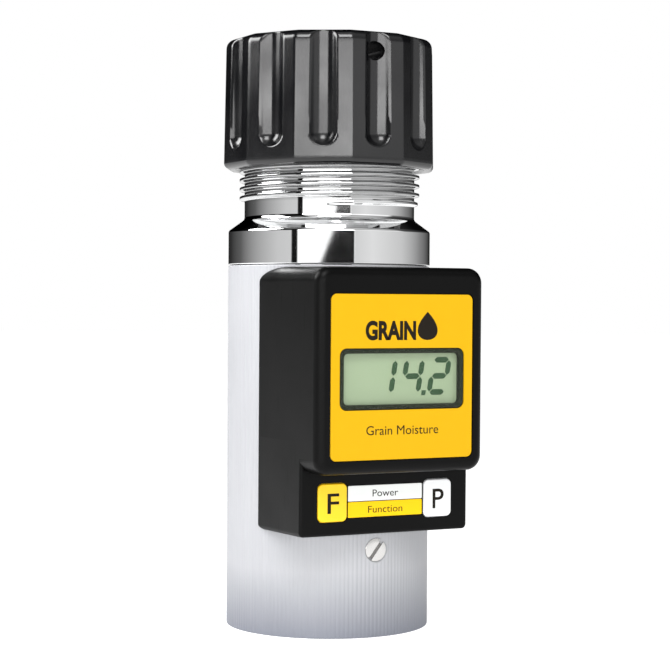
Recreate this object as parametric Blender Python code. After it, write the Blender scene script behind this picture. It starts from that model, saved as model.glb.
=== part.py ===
"""Grain moisture meter: a threaded measuring cup in a ribbed tube, a screw lid with a spring press, and a
housing with a display and two keys.

Metres, +Z up, front at -Y, origin on the tube's axis at the foot. Run it in Blender 4.5's text editor, or
with blender --background --python part.py.
"""

from math import asin, atan, ceil, cos, pi, radians, sin

import bmesh
import bpy
from mathutils import Matrix, Vector

MM = 0.001

# Gaps
GAP = 0.3 * MM  # between pieces that touch
OVERCUT = 1.0 * MM  # how far a cutter or a joined boss runs past a face
SCREW_GAP = 0.25 * MM  # round a screw's shank
KEY_GAP = 0.25 * MM  # round a key

# Tube
TUBE_RADIUS = 35.0 * MM
TUBE_WALL = 3.0 * MM
TUBE_TOP = 124.0 * MM
TUBE_SIDES = 48
WIRE_SLOT_WIDTH = 14.0 * MM
WIRE_SLOT_HEIGHT = 4.0 * MM
WIRE_SLOT_RISE = 4.6 * MM  # slot's middle above the housing's underside

# Measuring cup
COLLAR_HEIGHT = 11.7 * MM
CONE_HEIGHT = 4.0 * MM
NECK_INSET = 5.5 * MM  # neck's surface inside the tube's
NECK_WALL = 3.0 * MM
MOUTH_HEIGHT = 33.5 * MM  # mouth above the cone's top
MOUTH_CHAMFER = 0.8 * MM
SPIGOT_DEPTH = 10.0 * MM  # how far the collar's spigot enters the tube
CUP_DEPTH = 121.5 * MM  # from the mouth to the skirt's end
SKIRT_FLANGE_HEIGHT = 6.0 * MM
SKIRT_SLOPE = 1.5 * MM  # height of the slopes beside the skirt's flanges
COLLAR_CHAMFER = 0.3 * MM
CUP_SIDES = 36

# Thread of neck and lid, right-handed
PITCH = 3.1 * MM
THREAD_DEPTH = 1.75 * MM
RIDGE_BASE = 1.9 * MM
RIDGE_TIP = 1.0 * MM
THREAD_CLEARANCE = 0.3 * MM  # on the flanks
THREAD_ROOM = 0.45 * MM  # crest to root
LID_TURNS = 4
THREAD_START_ABOVE_CONE = 5.0 * MM
THREAD_START_ANGLE = radians(-120)
THREAD_FADE = 0.35  # turns over which a ridge runs out
LID_LEAD_IN = 0.8 * MM
LID_FIRST_RIDGE = 0.7 * MM  # least height of the lid's first ridge above the lead-in

# Chamber floor and electrode
FLOOR_FLANGE = 5.7 * MM
FLOOR_SPIGOT = 4.3 * MM
BORE_GAP = 0.3 * MM
ELECTRODE_RADIUS = 9.0 * MM
ELECTRODE_HEIGHT = 48.0 * MM
ELECTRODE_STUD = 3.8 * MM
NUT_HEIGHT = 3.2 * MM
NUT_WIDTH = 11.0 * MM
WASHER_THICKNESS = 0.8 * MM
WASHER_RADIUS = 6.5 * MM
PROBE_RADIUS = 1.5 * MM
PROBE_HEIGHT = 14.0 * MM
PROBE_CHAMFER = 0.8 * MM
PROBE_INSET = 4.5 * MM  # probe's middle inside the cup's bore
PROBE_AZIMUTH = radians(45)
SENSOR_BOARD_INSET = 3.7 * MM  # board's edge inside the spigot's
SENSOR_BOARD_HOLE = 8.25 * MM
BOARD_THICKNESS = 1.6 * MM
FLOOR_BOSS_HEIGHT = 5.1 * MM
FLOOR_BOSS_RADIUS = 2.8 * MM
FLOOR_BOSS_INSET = 7.5 * MM  # boss's middle inside the cup's bore
FLOOR_SCREW_OUTSET = 2.5 * MM  # screw's middle outside the cup's bore
FLOOR_SCREW_LENGTH = 8.5 * MM
FLOOR_SCREW_SUNK = 0.5 * MM
FLOOR_SCREW_ENTRY = 5.0 * MM  # depth of its hole in the cup
BOARD_SCREW_LENGTH = 7.0 * MM
LOWER_SCREW_HEAD_HEIGHT = 1.2 * MM

# Foot
CAP_HEIGHT = 34.0 * MM
CAP_FLOOR = 2.7 * MM
CAP_WALL = 1.5 * MM
BASE_SCREW_HEIGHT = 29.2 * MM
BASE_SCREW_RADIUS = 1.9 * MM
BASE_SCREW_HEAD = 3.9 * MM
BASE_SCREW_LENGTH = 11.0 * MM
BASE_SCREW_SLOT_TURN = radians(52)
HEAD_LAND = 0.15  # share of a countersunk head's height that is straight
BOSS_DEPTH = 9.0 * MM
BOSS_RADIUS = 4.6 * MM
BATTERY_LENGTH = 46.0 * MM
BATTERY_WIDTH = 26.5 * MM
BATTERY_DEPTH = 17.5 * MM
TERMINAL_HEIGHT = 2.4 * MM
TERMINAL_SPACING = 12.7 * MM
TERMINAL_RADIUS = 3.2 * MM
BATTERY_SHIFT = -3.6 * MM
SNAP_THICKNESS = 2.0 * MM
SNAP_HEIGHT = 12.0 * MM
SNAP_INSET = 2.0 * MM  # snap's edge inside the battery's
SNAP_CORNER = 3.0 * MM

# Electronics housing
HOUSING_HALF_FRONT = 31.2 * MM
HOUSING_TAPER = 1.8 * MM  # wider at the tube than at the front, each side
HOUSING_TAPER_DEPTH = 39.85 * MM
HOUSING_BACK_EDGE = 10.0 * MM  # its sides' rear edge, in front of the tube's axis
POCKET_BACK_EDGE = 14.0 * MM  # the same for the room inside, which the tube passes
HOUSING_TOP_DROP = 0.8 * MM  # below the tube's top
HOUSING_HEIGHT = 87.8 * MM
KEY_PANEL_HEIGHT = 20.7 * MM  # from the housing's underside to the display box
DISPLAY_PROUD = 16.75 * MM  # display box's face in front of the tube
KEY_PANEL_PROUD = 5.8 * MM
DISPLAY_EDGE = 3.2 * MM
DISPLAY_CORNER = 5.0 * MM
LEAST_CORNER = 0.4 * MM
KEY_EDGE = 1.0 * MM
KEY_PANEL_CORNER = 1.6 * MM
POCKET_EDGE = 1.2 * MM
HOUSING_WALL = 2.0 * MM
KEY_WALL = 1.2 * MM

# Label, window and display
LABEL_HALF = 26.5 * MM
LABEL_RISE = 4.7 * MM  # above the step
LABEL_DROP = 8.8 * MM  # below the housing's top
LABEL_THICKNESS = 0.5 * MM
LABEL_CORNER = 2.0 * MM
WINDOW_HALF = 23.05 * MM
WINDOW_RISE = 16.4 * MM  # above the label's foot
WINDOW_HEIGHT = 19.4 * MM
WINDOW_BORDER = 1.4 * MM
WINDOW_CORNER = 2.2 * MM
LCD_MARGIN = 1.9 * MM  # glass beyond the visible area
LCD_THICKNESS = 2.8 * MM
GLASS_CORNER = 0.4 * MM
STRIP_THICKNESS = 2.2 * MM
LCD_BOARD_SPACE = 2.4 * MM
CONTACT_STRIP_CORNER = 0.2 * MM
HOLDER_WALL = 1.2 * MM
BOARD_HALF = 26.0 * MM
BOARD_TOP_MARGIN = 3.5 * MM
BOARD_FOOT_MARGIN = 1.5 * MM
BOARD_CORNER = 1.0 * MM
CHIP_CORNER = 0.3 * MM
POST_RADIUS = 2.4 * MM
POST_INSET = 3.2 * MM
POST_LOW_RISE = 6.4 * MM  # lower posts above the display box's floor
POST_TOP_DROP = 5.34 * MM  # upper posts below the board's top
POST_SCREW_LENGTH = 6.0 * MM
POST_SCREW_HEAD_HEIGHT = 1.0 * MM
CHIP_SIZE = 10.0 * MM
CHIP_THICKNESS = 1.4 * MM
HEADER_SIZE = (12.0 * MM, 4.2 * MM, 5.0 * MM)
HEADER_RISE = 8.0 * MM
HEADER_INSET = 6.0 * MM
BACK_THICKNESS = 1.5 * MM
BACK_SIDE_ROOM = 1.0 * MM  # between the rear cover and the housing's side walls
BACK_BOSS_RADIUS = 3.4 * MM
BACK_BOSS_SHORT = 1.0 * MM  # boss's end behind the display board
HOUSING_SCREW_RISE = (10.0 * MM, 52.0 * MM)  # above the step
SMALL_SCREW_RADIUS = 0.9 * MM
SMALL_SCREW_HEAD = 1.8 * MM
HOUSING_SCREW_RADIUS = 1.45 * MM
HOUSING_SCREW_HEAD = 2.8 * MM
HOUSING_SCREW_HEAD_HEIGHT = 1.3 * MM
HOUSING_SCREW_BACK_ROOM = 0.15 * MM
HOUSING_SCREW_SHORT = 1.4 * MM  # screw's end inside the boss's

# Keys
KEY_SPACING = 39.8 * MM
KEY_WIDTH = 10.7 * MM
KEY_HEIGHT = 12.5 * MM
KEY_RISE = 10.95 * MM  # key's middle above the housing's underside
KEY_CORNER = 1.8 * MM
KEY_PROUD = 0.4 * MM
KEY_FLANGE = 0.6 * MM
KEY_FLANGE_RIM = 0.9 * MM
KEY_TRAVEL = 0.6 * MM
SWITCH_SIZE = 4.5 * MM
SWITCH_BODY = 0.9 * MM
SWITCH_PLAY = 0.1 * MM  # left behind a key pressed home
SWITCH_BOARD_GAP = 0.2 * MM
SWITCH_CORNER = 0.6 * MM
KEY_BOARD_THICKNESS = 1.0 * MM
KEY_BOARD_MARGIN = 8.0 * MM  # board beyond the keys' middles
KEY_BOARD_RISE = 0.6 * MM
KEY_BOARD_OVER_STEP = 1.0 * MM
STRIP_KEY_GAP = 0.55 * MM
STRIP_HEIGHT = 10.4 * MM
STRIP_CORNER = 0.4 * MM
LEGEND_THICKNESS = 0.4 * MM

# Lid
LID_OPEN_RISE = 17.2 * MM  # rim above the cone's top while the lid is partly unscrewed
LID_HEIGHT = 44.6 * MM
LID_WALL = 5.5 * MM  # from the bore to the corners at the rim
LID_DRAFT = 0.7 * MM  # how much nearer the axis the corners are at the top
LID_FLATS = 12
LID_TURNED = radians(-1.5)  # a flat's middle from straight ahead
LID_TOP_ROUND = 3.4 * MM
LID_RIM_ROUND = 2.0 * MM
LID_TOP_WALL = 11.2 * MM
FLUTE_WIDTH = 9.0 * MM
FLUTE_DEPTH = 2.7 * MM
FLUTE_RISE = 6.2 * MM  # flute's lower end above the rim
LID_HOLE_RADIUS = 3.25 * MM
LID_HOLE_DROP = 6.5 * MM
LID_HOLE_DEPTH = 10.0 * MM
HUB_RADIUS = 13.0 * MM
HUB_DROP = 6.6 * MM
WELL_RADIUS = 9.0 * MM
WELL_DEPTH = 12.3 * MM
SLIDE_GAP = 0.3 * MM

# Press inside the lid
STEM_RADIUS = 3.9 * MM
BUSH_WALL = 1.8 * MM
BUSH_SUNK = 0.2 * MM  # bush's top below the well's floor
BUTTON_THICKNESS = 5.5 * MM
BUTTON_CHAMFER = 0.6 * MM
STEM_SHOULDER = 1.2 * MM
STEM_SPIGOT = 3.6 * MM
STEM_THREAD_DEPTH = 8.0 * MM
THRUST_THICKNESS = 1.7 * MM
SPRING_LENGTH = 13.6 * MM
SPRING_WIRE = 0.75 * MM
SPRING_RADIUS = 9.6 * MM
SPRING_TURNS = 3.5
PLATE_THICKNESS = 4.5 * MM
PLATE_BORE_GAP = 0.6 * MM
PLATE_BOSS_RADIUS = 6.6 * MM
PLATE_BOSS_HEIGHT = 5.0 * MM
PLATE_SCREW_RADIUS = 1.8 * MM
PLATE_SCREW_HEAD_HEIGHT = 2.0 * MM
PLATE_SCREW_SUNK = 0.2 * MM
PLATE_SCREW_SHORT = 1.5 * MM  # screw's end inside the stem's thread
PLATE_CHAMFER = 0.8 * MM
PLATE_SOCKET_DEPTH = 1.5 * MM

# Worked out from the sizes above
TUBE_BORE = TUBE_RADIUS - TUBE_WALL
NECK_RADIUS = TUBE_RADIUS - NECK_INSET
COLLAR_FOOT = TUBE_TOP + GAP
COLLAR_TOP = COLLAR_FOOT + COLLAR_HEIGHT
CONE_TOP = COLLAR_TOP + CONE_HEIGHT
MOUTH = CONE_TOP + MOUTH_HEIGHT
CUP_BORE = NECK_RADIUS - NECK_WALL
CUP_FOOT = MOUTH - CUP_DEPTH
SPIGOT_RADIUS = TUBE_BORE - GAP
THREAD_START = CONE_TOP + THREAD_START_ABOVE_CONE
NECK_TURNS = int((MOUTH - MOUTH_CHAMFER - RIDGE_BASE - THREAD_START) / PITCH)
LID_RIM = CONE_TOP + LID_OPEN_RISE
LID_PITCHES_UP = ceil((LID_RIM + LID_LEAD_IN + LID_FIRST_RIDGE - THREAD_START) / PITCH - 0.5)
FLOOR_TOP = CUP_FOOT + FLOOR_SPIGOT
FLOOR_FOOT = CUP_FOOT - GAP - FLOOR_FLANGE
SENSOR_BOARD_TOP = FLOOR_FOOT - FLOOR_BOSS_HEIGHT - GAP
SENSOR_BOARD_FOOT = SENSOR_BOARD_TOP - BOARD_THICKNESS
SENSOR_BOARD_RADIUS = SPIGOT_RADIUS - SENSOR_BOARD_INSET
PROBE_PITCH_RADIUS = CUP_BORE - PROBE_INSET
FLOOR_BOSS_PITCH_RADIUS = CUP_BORE - FLOOR_BOSS_INSET
FLOOR_SCREW_PITCH_RADIUS = CUP_BORE + FLOOR_SCREW_OUTSET
HOUSING_TOP = TUBE_TOP - HOUSING_TOP_DROP
HOUSING_BOTTOM = HOUSING_TOP - HOUSING_HEIGHT
STEP_HEIGHT = HOUSING_BOTTOM + KEY_PANEL_HEIGHT  # underside of the display box
DISPLAY_FRONT = TUBE_RADIUS + DISPLAY_PROUD  # in front of the tube's axis
KEY_FRONT = TUBE_RADIUS + KEY_PANEL_PROUD
LABEL_BOTTOM = STEP_HEIGHT + LABEL_RISE
LABEL_TOP = HOUSING_TOP - LABEL_DROP
WINDOW_BOTTOM = LABEL_BOTTOM + WINDOW_RISE
WINDOW_TOP = WINDOW_BOTTOM + WINDOW_HEIGHT
KEY_MIDDLE = HOUSING_BOTTOM + KEY_RISE
STRIP_HALF = (KEY_SPACING - KEY_WIDTH) / 2 - STRIP_KEY_GAP
WIRE_SLOT_MIDDLE = HOUSING_BOTTOM + WIRE_SLOT_RISE
SHELL_BORE = TUBE_RADIUS + GAP
BACK_RADIUS = SHELL_BORE + BACK_THICKNESS
BACK_HALF_ANGLE = asin((HOUSING_HALF_FRONT - HOUSING_WALL - BACK_SIDE_ROOM) / BACK_RADIUS)
LID_TOP = LID_RIM + LID_HEIGHT
LID_CEILING = LID_TOP - LID_TOP_WALL
LID_BORE = NECK_RADIUS + THREAD_DEPTH + THREAD_ROOM
LID_CORNER_LOW = LID_BORE + LID_WALL
LID_CORNER_HIGH = LID_CORNER_LOW - LID_DRAFT
LID_RIDGE_DEPTH = LID_BORE - NECK_RADIUS - 0.8 * THREAD_ROOM
HUB_FOOT = LID_CEILING - HUB_DROP
WELL_FLOOR = LID_TOP - WELL_DEPTH
BUSH_RADIUS = STEM_RADIUS + SLIDE_GAP + BUSH_WALL
THRUST_TOP = HUB_FOOT - GAP
THRUST_FOOT = THRUST_TOP - THRUST_THICKNESS
SPRING_FOOT = THRUST_FOOT - GAP - SPRING_LENGTH
PLATE_TOP = SPRING_FOOT - GAP
PLATE_FOOT = PLATE_TOP - PLATE_THICKNESS
PLATE_RADIUS = CUP_BORE - PLATE_BORE_GAP


# Objects, materials and Booleans


def make_material(name, colour, roughness, metallic=0.0, alpha=1.0):
    material = bpy.data.materials.new(name)
    material.use_nodes = True
    shader = material.node_tree.nodes["Principled BSDF"]
    shader.inputs["Base Color"].default_value = (*colour, 1.0)
    shader.inputs["Roughness"].default_value = roughness
    shader.inputs["Metallic"].default_value = metallic
    shader.inputs["Alpha"].default_value = alpha
    material.diffuse_color = (*colour, alpha)
    return material


def make_object(name, mesh_builder, material=None, origin=(0.0, 0.0, 0.0)):
    """Turns a bmesh into an object whose origin is at the point given, without moving its shape."""
    bmesh.ops.remove_doubles(mesh_builder, verts=mesh_builder.verts, dist=1e-6)
    bmesh.ops.recalc_face_normals(mesh_builder, faces=mesh_builder.faces)
    mesh_builder.transform(Matrix.Translation(-Vector(origin)))
    mesh = bpy.data.meshes.new(name)
    mesh_builder.to_mesh(mesh)
    mesh_builder.free()
    mesh.shade_smooth()
    mesh.set_sharp_from_angle(angle=radians(30))
    obj = bpy.data.objects.new(name, mesh)
    obj.location = origin
    bpy.context.scene.collection.objects.link(obj)
    if material is not None:
        mesh.materials.append(material)
    return obj


def helper(obj):
    obj.hide_render = True
    obj.display_type = "WIRE"
    return obj


def boolean(target, other, operation):
    modifier = target.modifiers.new(operation.lower() + "_" + other.name, "BOOLEAN")
    modifier.operation = operation
    modifier.solver = "EXACT"
    modifier.object = helper(other)


def cut(target, *cutters):
    for cutter in cutters:
        boolean(target, cutter, "DIFFERENCE")
    return target


def join(target, *others):
    for other in others:
        boolean(target, other, "UNION")
    return target


# Shapes


def ring_faces(mesh_builder, rings, closed_section):
    """Joins each ring of points to the next one, and the last to the first when the section is closed."""
    count = len(rings[0])
    pairs = list(zip(rings, rings[1:]))
    if closed_section:
        pairs.append((rings[-1], rings[0]))
    for low, high in pairs:
        for i in range(count):
            j = (i + 1) % count
            mesh_builder.faces.new((low[i], low[j], high[j], high[i]))


def stack(name, rings, material=None, origin=(0.0, 0.0, 0.0), matrix=None):
    """A solid skinned over closed outlines, capped at both ends."""
    mesh_builder = bmesh.new()
    built = [[mesh_builder.verts.new(point) for point in ring] for ring in rings]
    ring_faces(mesh_builder, built, closed_section=False)
    mesh_builder.faces.new(built[0])
    mesh_builder.faces.new(built[-1])
    if matrix is not None:
        mesh_builder.transform(matrix)
    return make_object(name, mesh_builder, material, origin)


def circle(radius, z, sides, turned=0.0, centre=(0.0, 0.0)):
    angles = (turned + 2 * pi * i / sides for i in range(sides))
    return [(centre[0] + radius * cos(a), centre[1] + radius * sin(a), z) for a in angles]


def rod(name, profile, sides, material=None, centre=(0.0, 0.0), matrix=None):
    """A turned solid with no bore: the profile is (radius, z) from one end to the other."""
    rings = [circle(radius, z, sides, centre=centre) for radius, z in profile]
    return stack(name, rings, material, matrix=matrix)


def turned_ring(name, section, sides, material=None, origin=(0.0, 0.0, 0.0)):
    """A turned solid with a bore: the section is a closed loop of (radius, z)."""
    mesh_builder = bmesh.new()
    rings = [[mesh_builder.verts.new(point) for point in circle(radius, z, sides)] for radius, z in section]
    ring_faces(mesh_builder, rings, closed_section=True)
    return make_object(name, mesh_builder, material, origin)


def ridge_column(first_z, turn, turns, root, depth, base, tip):
    """Points (radius, z) up a threaded wall at one angle, where turn is the angle as a fraction of a turn."""
    points = []
    for lap in range(turns):
        along = lap + turn
        fade = min(along, turns - 1 / CUP_SIDES - along) / THREAD_FADE
        radius = root + depth * max(0.0, min(1.0, fade))
        z = first_z + PITCH * along
        points += [(root, z - base / 2), (radius, z - tip / 2), (radius, z + tip / 2), (root, z + base / 2)]
    return points


def threaded(name, below, thread, above, closed_section, material=None, origin=(0.0, 0.0, 0.0)):
    """A turned solid with a helical ridge on one wall.

    below and above are (radius, z) points before and after the thread. The ridge climbs one pitch in a
    turn, so the column at a full turn meets the first column one ridge higher up.
    """
    mesh_builder = bmesh.new()
    columns = []
    for side in range(CUP_SIDES):
        angle = THREAD_START_ANGLE + 2 * pi * side / CUP_SIDES
        points = below + ridge_column(turn=side / CUP_SIDES, **thread) + above
        columns.append([mesh_builder.verts.new((r * cos(angle), r * sin(angle), z)) for r, z in points])
    start = len(below)
    count = len(columns[0])
    end = count - len(above)
    lap = 4
    for side in range(CUP_SIDES - 1):
        here, there = columns[side], columns[side + 1]
        for i in range(count - 1):
            mesh_builder.faces.new((here[i], there[i], there[i + 1], here[i + 1]))
    last, first = columns[-1], columns[0]
    for i in list(range(start - 1)) + list(range(end, count - 1)):
        mesh_builder.faces.new((last[i], first[i], first[i + 1], last[i + 1]))
    for i in range(start, end - lap - 1):
        mesh_builder.faces.new((last[i], first[i + lap], first[i + lap + 1], last[i + 1]))
    mesh_builder.faces.new([last[start - 1]] + first[start - 1 : start + lap + 1] + [last[start]])
    mesh_builder.faces.new([first[end - 1], first[end]] + last[end : end - lap - 2 : -1])
    if closed_section:
        for side in range(CUP_SIDES):
            here, there = columns[side], columns[(side + 1) % CUP_SIDES]
            mesh_builder.faces.new((here[-1], there[-1], there[0], here[0]))
    else:
        mesh_builder.faces.new([column[0] for column in columns])
        mesh_builder.faces.new([column[-1] for column in columns])
    return make_object(name, mesh_builder, material, origin)


def rounded_outline(half_width, low, high, corner, y, steps=4):
    """A rounded rectangle in a plane facing -Y, as points anticlockwise seen from the front."""
    points = []
    corners = ((1, high, 0.0), (-1, high, pi / 2), (-1, low, pi), (1, low, 1.5 * pi))
    for side, z, start in corners:
        centre_x = side * (half_width - corner)
        centre_z = z - corner if z == high else z + corner
        for step in range(steps + 1):
            angle = start + 0.5 * pi * step / steps
            points.append((centre_x + corner * cos(angle), y, centre_z + corner * sin(angle)))
    return points


def plate(name, half_width, low, high, front, back, corner, material=None, x=0.0, origin=(0, 0, 0), steps=4):
    """A rounded rectangular plate facing -Y. front and back are its distances in front of the tube's axis."""
    rings = [rounded_outline(half_width, low, high, corner, -depth, steps) for depth in (front, back)]
    return stack(name, rings, material, origin, Matrix.Translation((x, 0.0, 0.0)))


def box(name, low, high, material=None, origin=(0.0, 0.0, 0.0)):
    ring = [(low[0], low[1]), (high[0], low[1]), (high[0], high[1]), (low[0], high[1])]
    return stack(name, [[(x, y, z) for x, y in ring] for z in (low[2], high[2])], material, origin)


def half_width_at(depth, inset=0.0):
    """The housing's half width at a distance in front of the tube's axis."""
    return HOUSING_HALF_FRONT + HOUSING_TAPER * (DISPLAY_FRONT - depth) / HOUSING_TAPER_DEPTH - inset


def housing_block(name, low, high, front, back, corner, edge, inset=0.0):
    """A tapered block with a rounded front edge, its sides following the housing's taper."""
    rings = []
    steps = 4
    for step in range(steps + 1):
        angle = 0.5 * pi * step / steps
        shrink = edge * (1 - sin(angle))
        depth = front - edge * (1 - cos(angle))
        width = half_width_at(depth, inset) - shrink
        soft = max(corner - shrink, LEAST_CORNER)
        rings.append(rounded_outline(width, low + shrink, high - shrink, soft, -depth))
    rings.append(rounded_outline(half_width_at(back, inset), low, high, corner, -back))
    return stack(name, rings)


def along_y(x, z, y=0.0):
    """Turns a piece made along +Z so that it points to +Y, and puts its foot at the point given."""
    return Matrix.Translation((x, y, z)) @ Matrix.Rotation(radians(-90), 4, "X")


def upside_down(centre, z):
    """Turns a piece made along +Z so that it points down, at a place (x, y) and a height."""
    return Matrix.Translation((*centre, z)) @ Matrix.Rotation(pi, 4, "X")


def radial(azimuth, z, distance):
    """Turns a piece made along +Z so that it points outwards at an azimuth from straight ahead."""
    outward = Matrix.Rotation(azimuth, 4, "Z") @ Matrix.Rotation(radians(90), 4, "X")
    return Matrix.Translation((0.0, 0.0, z)) @ outward @ Matrix.Translation((0.0, 0.0, distance))


def screw(name, radius, length, head_radius, head_height, material, matrix, slot_turn=0.0, countersunk=False):
    """A slotted screw whose head's top is at the origin and whose shank runs down -Z, before it is placed."""
    foot = 0.45 * radius
    profile = [(radius - foot, -length), (radius, foot - length), (radius, -head_height)]
    profile += [(head_radius, 0.0)] if countersunk else [(head_radius, -head_height), (head_radius, 0.0)]
    if countersunk:
        profile.insert(3, (head_radius, -HEAD_LAND * head_height))
    body = rod(name, profile, 20 if countersunk else 12, material)
    slot_half = 0.16 * head_radius
    slot = box(
        name + "_slot",
        (-2 * head_radius, -slot_half, -0.5 * head_height),
        (2 * head_radius, slot_half, head_height),
    )
    slot.data.transform(Matrix.Rotation(slot_turn, 4, "Z"))
    cut(body, slot)
    body.data.transform(matrix)
    slot.data.transform(matrix)
    return body


def screw_hole(name, radius, length, head_radius, head_height, matrix):
    """The clearance round a countersunk screw of the same sizes, open above its head."""
    clear = radius + SCREW_GAP
    wide = head_radius + SCREW_GAP
    profile = [(clear, -length - GAP), (clear, -head_height)]
    profile += [(wide, -HEAD_LAND * head_height), (wide, 2 * OVERCUT)]
    return rod(name, profile, 20, matrix=matrix)


def small_hole(name, low, high, centre=(0.0, 0.0), matrix=None):
    """The clearance hole of the small screws."""
    return hole(name, SMALL_SCREW_RADIUS + SCREW_GAP, low, high, centre, 10, matrix)


def hole(name, radius, low, high, centre=(0.0, 0.0), sides=16, matrix=None):
    return rod(name, [(radius, low), (radius, high)], sides, centre=centre, matrix=matrix)


def at_angles(radius, count, start=0.0):
    angles = (start + 2 * pi * i / count for i in range(count))
    return [(radius * cos(a), radius * sin(a)) for a in angles]


# Pieces of the tube and the cup


def base_screw_matrix(azimuth):
    return radial(azimuth, BASE_SCREW_HEIGHT, TUBE_RADIUS - GAP)


def base_screw_head_height():
    return BASE_SCREW_HEAD - BASE_SCREW_RADIUS


def build_tube(aluminium):
    section = [(TUBE_RADIUS, 0.0), (TUBE_RADIUS, TUBE_TOP), (TUBE_BORE, TUBE_TOP), (TUBE_BORE, 0.0)]
    tube = turned_ring("body_tube", section, TUBE_SIDES, aluminium)
    slot = box(
        "tube_wire_slot",
        (-WIRE_SLOT_WIDTH / 2, -TUBE_RADIUS - OVERCUT, WIRE_SLOT_MIDDLE - WIRE_SLOT_HEIGHT / 2),
        (WIRE_SLOT_WIDTH / 2, -TUBE_BORE / 2, WIRE_SLOT_MIDDLE + WIRE_SLOT_HEIGHT / 2),
    )
    cut(tube, slot)
    for azimuth, place in ((0.0, "front"), (pi, "rear")):
        head = base_screw_head_height()
        matrix = base_screw_matrix(azimuth)
        name = "tube_hole_" + place
        cut(tube, screw_hole(name, BASE_SCREW_RADIUS, BASE_SCREW_LENGTH, BASE_SCREW_HEAD, head, matrix))
    for number, height in enumerate(housing_screw_heights(), 1):
        matrix = along_y(0.0, height, -TUBE_RADIUS - OVERCUT)
        through = TUBE_WALL + 2 * OVERCUT
        radius = HOUSING_SCREW_RADIUS + SCREW_GAP
        cut(tube, hole(f"tube_housing_hole_{number}", radius, 0.0, through, matrix=matrix))
    return tube


def build_cup(polished):
    below = [
        (CUP_BORE, CUP_FOOT),
        (SPIGOT_RADIUS, CUP_FOOT),
        (SPIGOT_RADIUS, CUP_FOOT + SKIRT_FLANGE_HEIGHT),
        (NECK_RADIUS, CUP_FOOT + SKIRT_FLANGE_HEIGHT + SKIRT_SLOPE),
        (NECK_RADIUS, COLLAR_FOOT - SPIGOT_DEPTH - SKIRT_SLOPE),
        (SPIGOT_RADIUS, COLLAR_FOOT - SPIGOT_DEPTH),
        (SPIGOT_RADIUS, COLLAR_FOOT),
        (TUBE_RADIUS - COLLAR_CHAMFER, COLLAR_FOOT),
        (TUBE_RADIUS, COLLAR_FOOT + COLLAR_CHAMFER),
        (TUBE_RADIUS, COLLAR_TOP),
        (NECK_RADIUS, CONE_TOP),
    ]
    above = [(NECK_RADIUS, MOUTH - MOUTH_CHAMFER), (NECK_RADIUS - MOUTH_CHAMFER, MOUTH), (CUP_BORE, MOUTH)]
    thread = {
        "first_z": THREAD_START,
        "turns": NECK_TURNS,
        "root": NECK_RADIUS,
        "depth": THREAD_DEPTH,
        "base": RIDGE_BASE,
        "tip": RIDGE_TIP,
    }
    cup = threaded("threaded_cup", below, thread, above, closed_section=True, material=polished)
    for number, centre in enumerate(floor_screw_centres(), 1):
        low, high = CUP_FOOT - GAP, CUP_FOOT - GAP + FLOOR_SCREW_ENTRY
        cut(cup, small_hole(f"cup_hole_{number}", low, high, centre))
    return cup


def floor_screw_centres():
    return at_angles(FLOOR_SCREW_PITCH_RADIUS, 3, radians(30))


def board_screw_centres():
    return at_angles(FLOOR_BOSS_PITCH_RADIUS, 3, radians(90))


def probe_centre():
    return (PROBE_PITCH_RADIUS * cos(PROBE_AZIMUTH), PROBE_PITCH_RADIUS * sin(PROBE_AZIMUTH))


def build_floor(insulator):
    spigot = CUP_BORE * cos(pi / CUP_SIDES) - BORE_GAP
    rest = CUP_FOOT - GAP
    profile = [(SPIGOT_RADIUS, FLOOR_FOOT), (SPIGOT_RADIUS, rest), (spigot, rest), (spigot, FLOOR_TOP)]
    floor = rod("chamber_floor", profile, CUP_SIDES, insulator)
    under, over = FLOOR_FOOT - OVERCUT, FLOOR_TOP + OVERCUT
    for number, centre in enumerate(board_screw_centres(), 1):
        foot = FLOOR_FOOT - FLOOR_BOSS_HEIGHT
        join(floor, hole(f"floor_boss_{number}", FLOOR_BOSS_RADIUS, foot, FLOOR_FOOT + OVERCUT, centre, 12))
        end = foot + BOARD_SCREW_LENGTH - OVERCUT
        cut(floor, small_hole(f"boss_hole_{number}", foot - OVERCUT, end, centre))
    for number, centre in enumerate(floor_screw_centres(), 1):
        cut(floor, small_hole(f"floor_hole_{number}", under, CUP_FOOT + OVERCUT, centre))
        name = f"floor_recess_{number}"
        recess = FLOOR_FOOT + FLOOR_SCREW_SUNK + LOWER_SCREW_HEAD_HEIGHT + GAP
        cut(floor, hole(name, SMALL_SCREW_HEAD + 2 * SCREW_GAP, under, recess, centre, 12))
    cut(floor, hole("floor_stud_hole", ELECTRODE_STUD + SCREW_GAP, under, over))
    cut(floor, hole("floor_probe_hole", PROBE_RADIUS + SCREW_GAP, under, over, probe_centre(), 12))
    return floor


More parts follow.
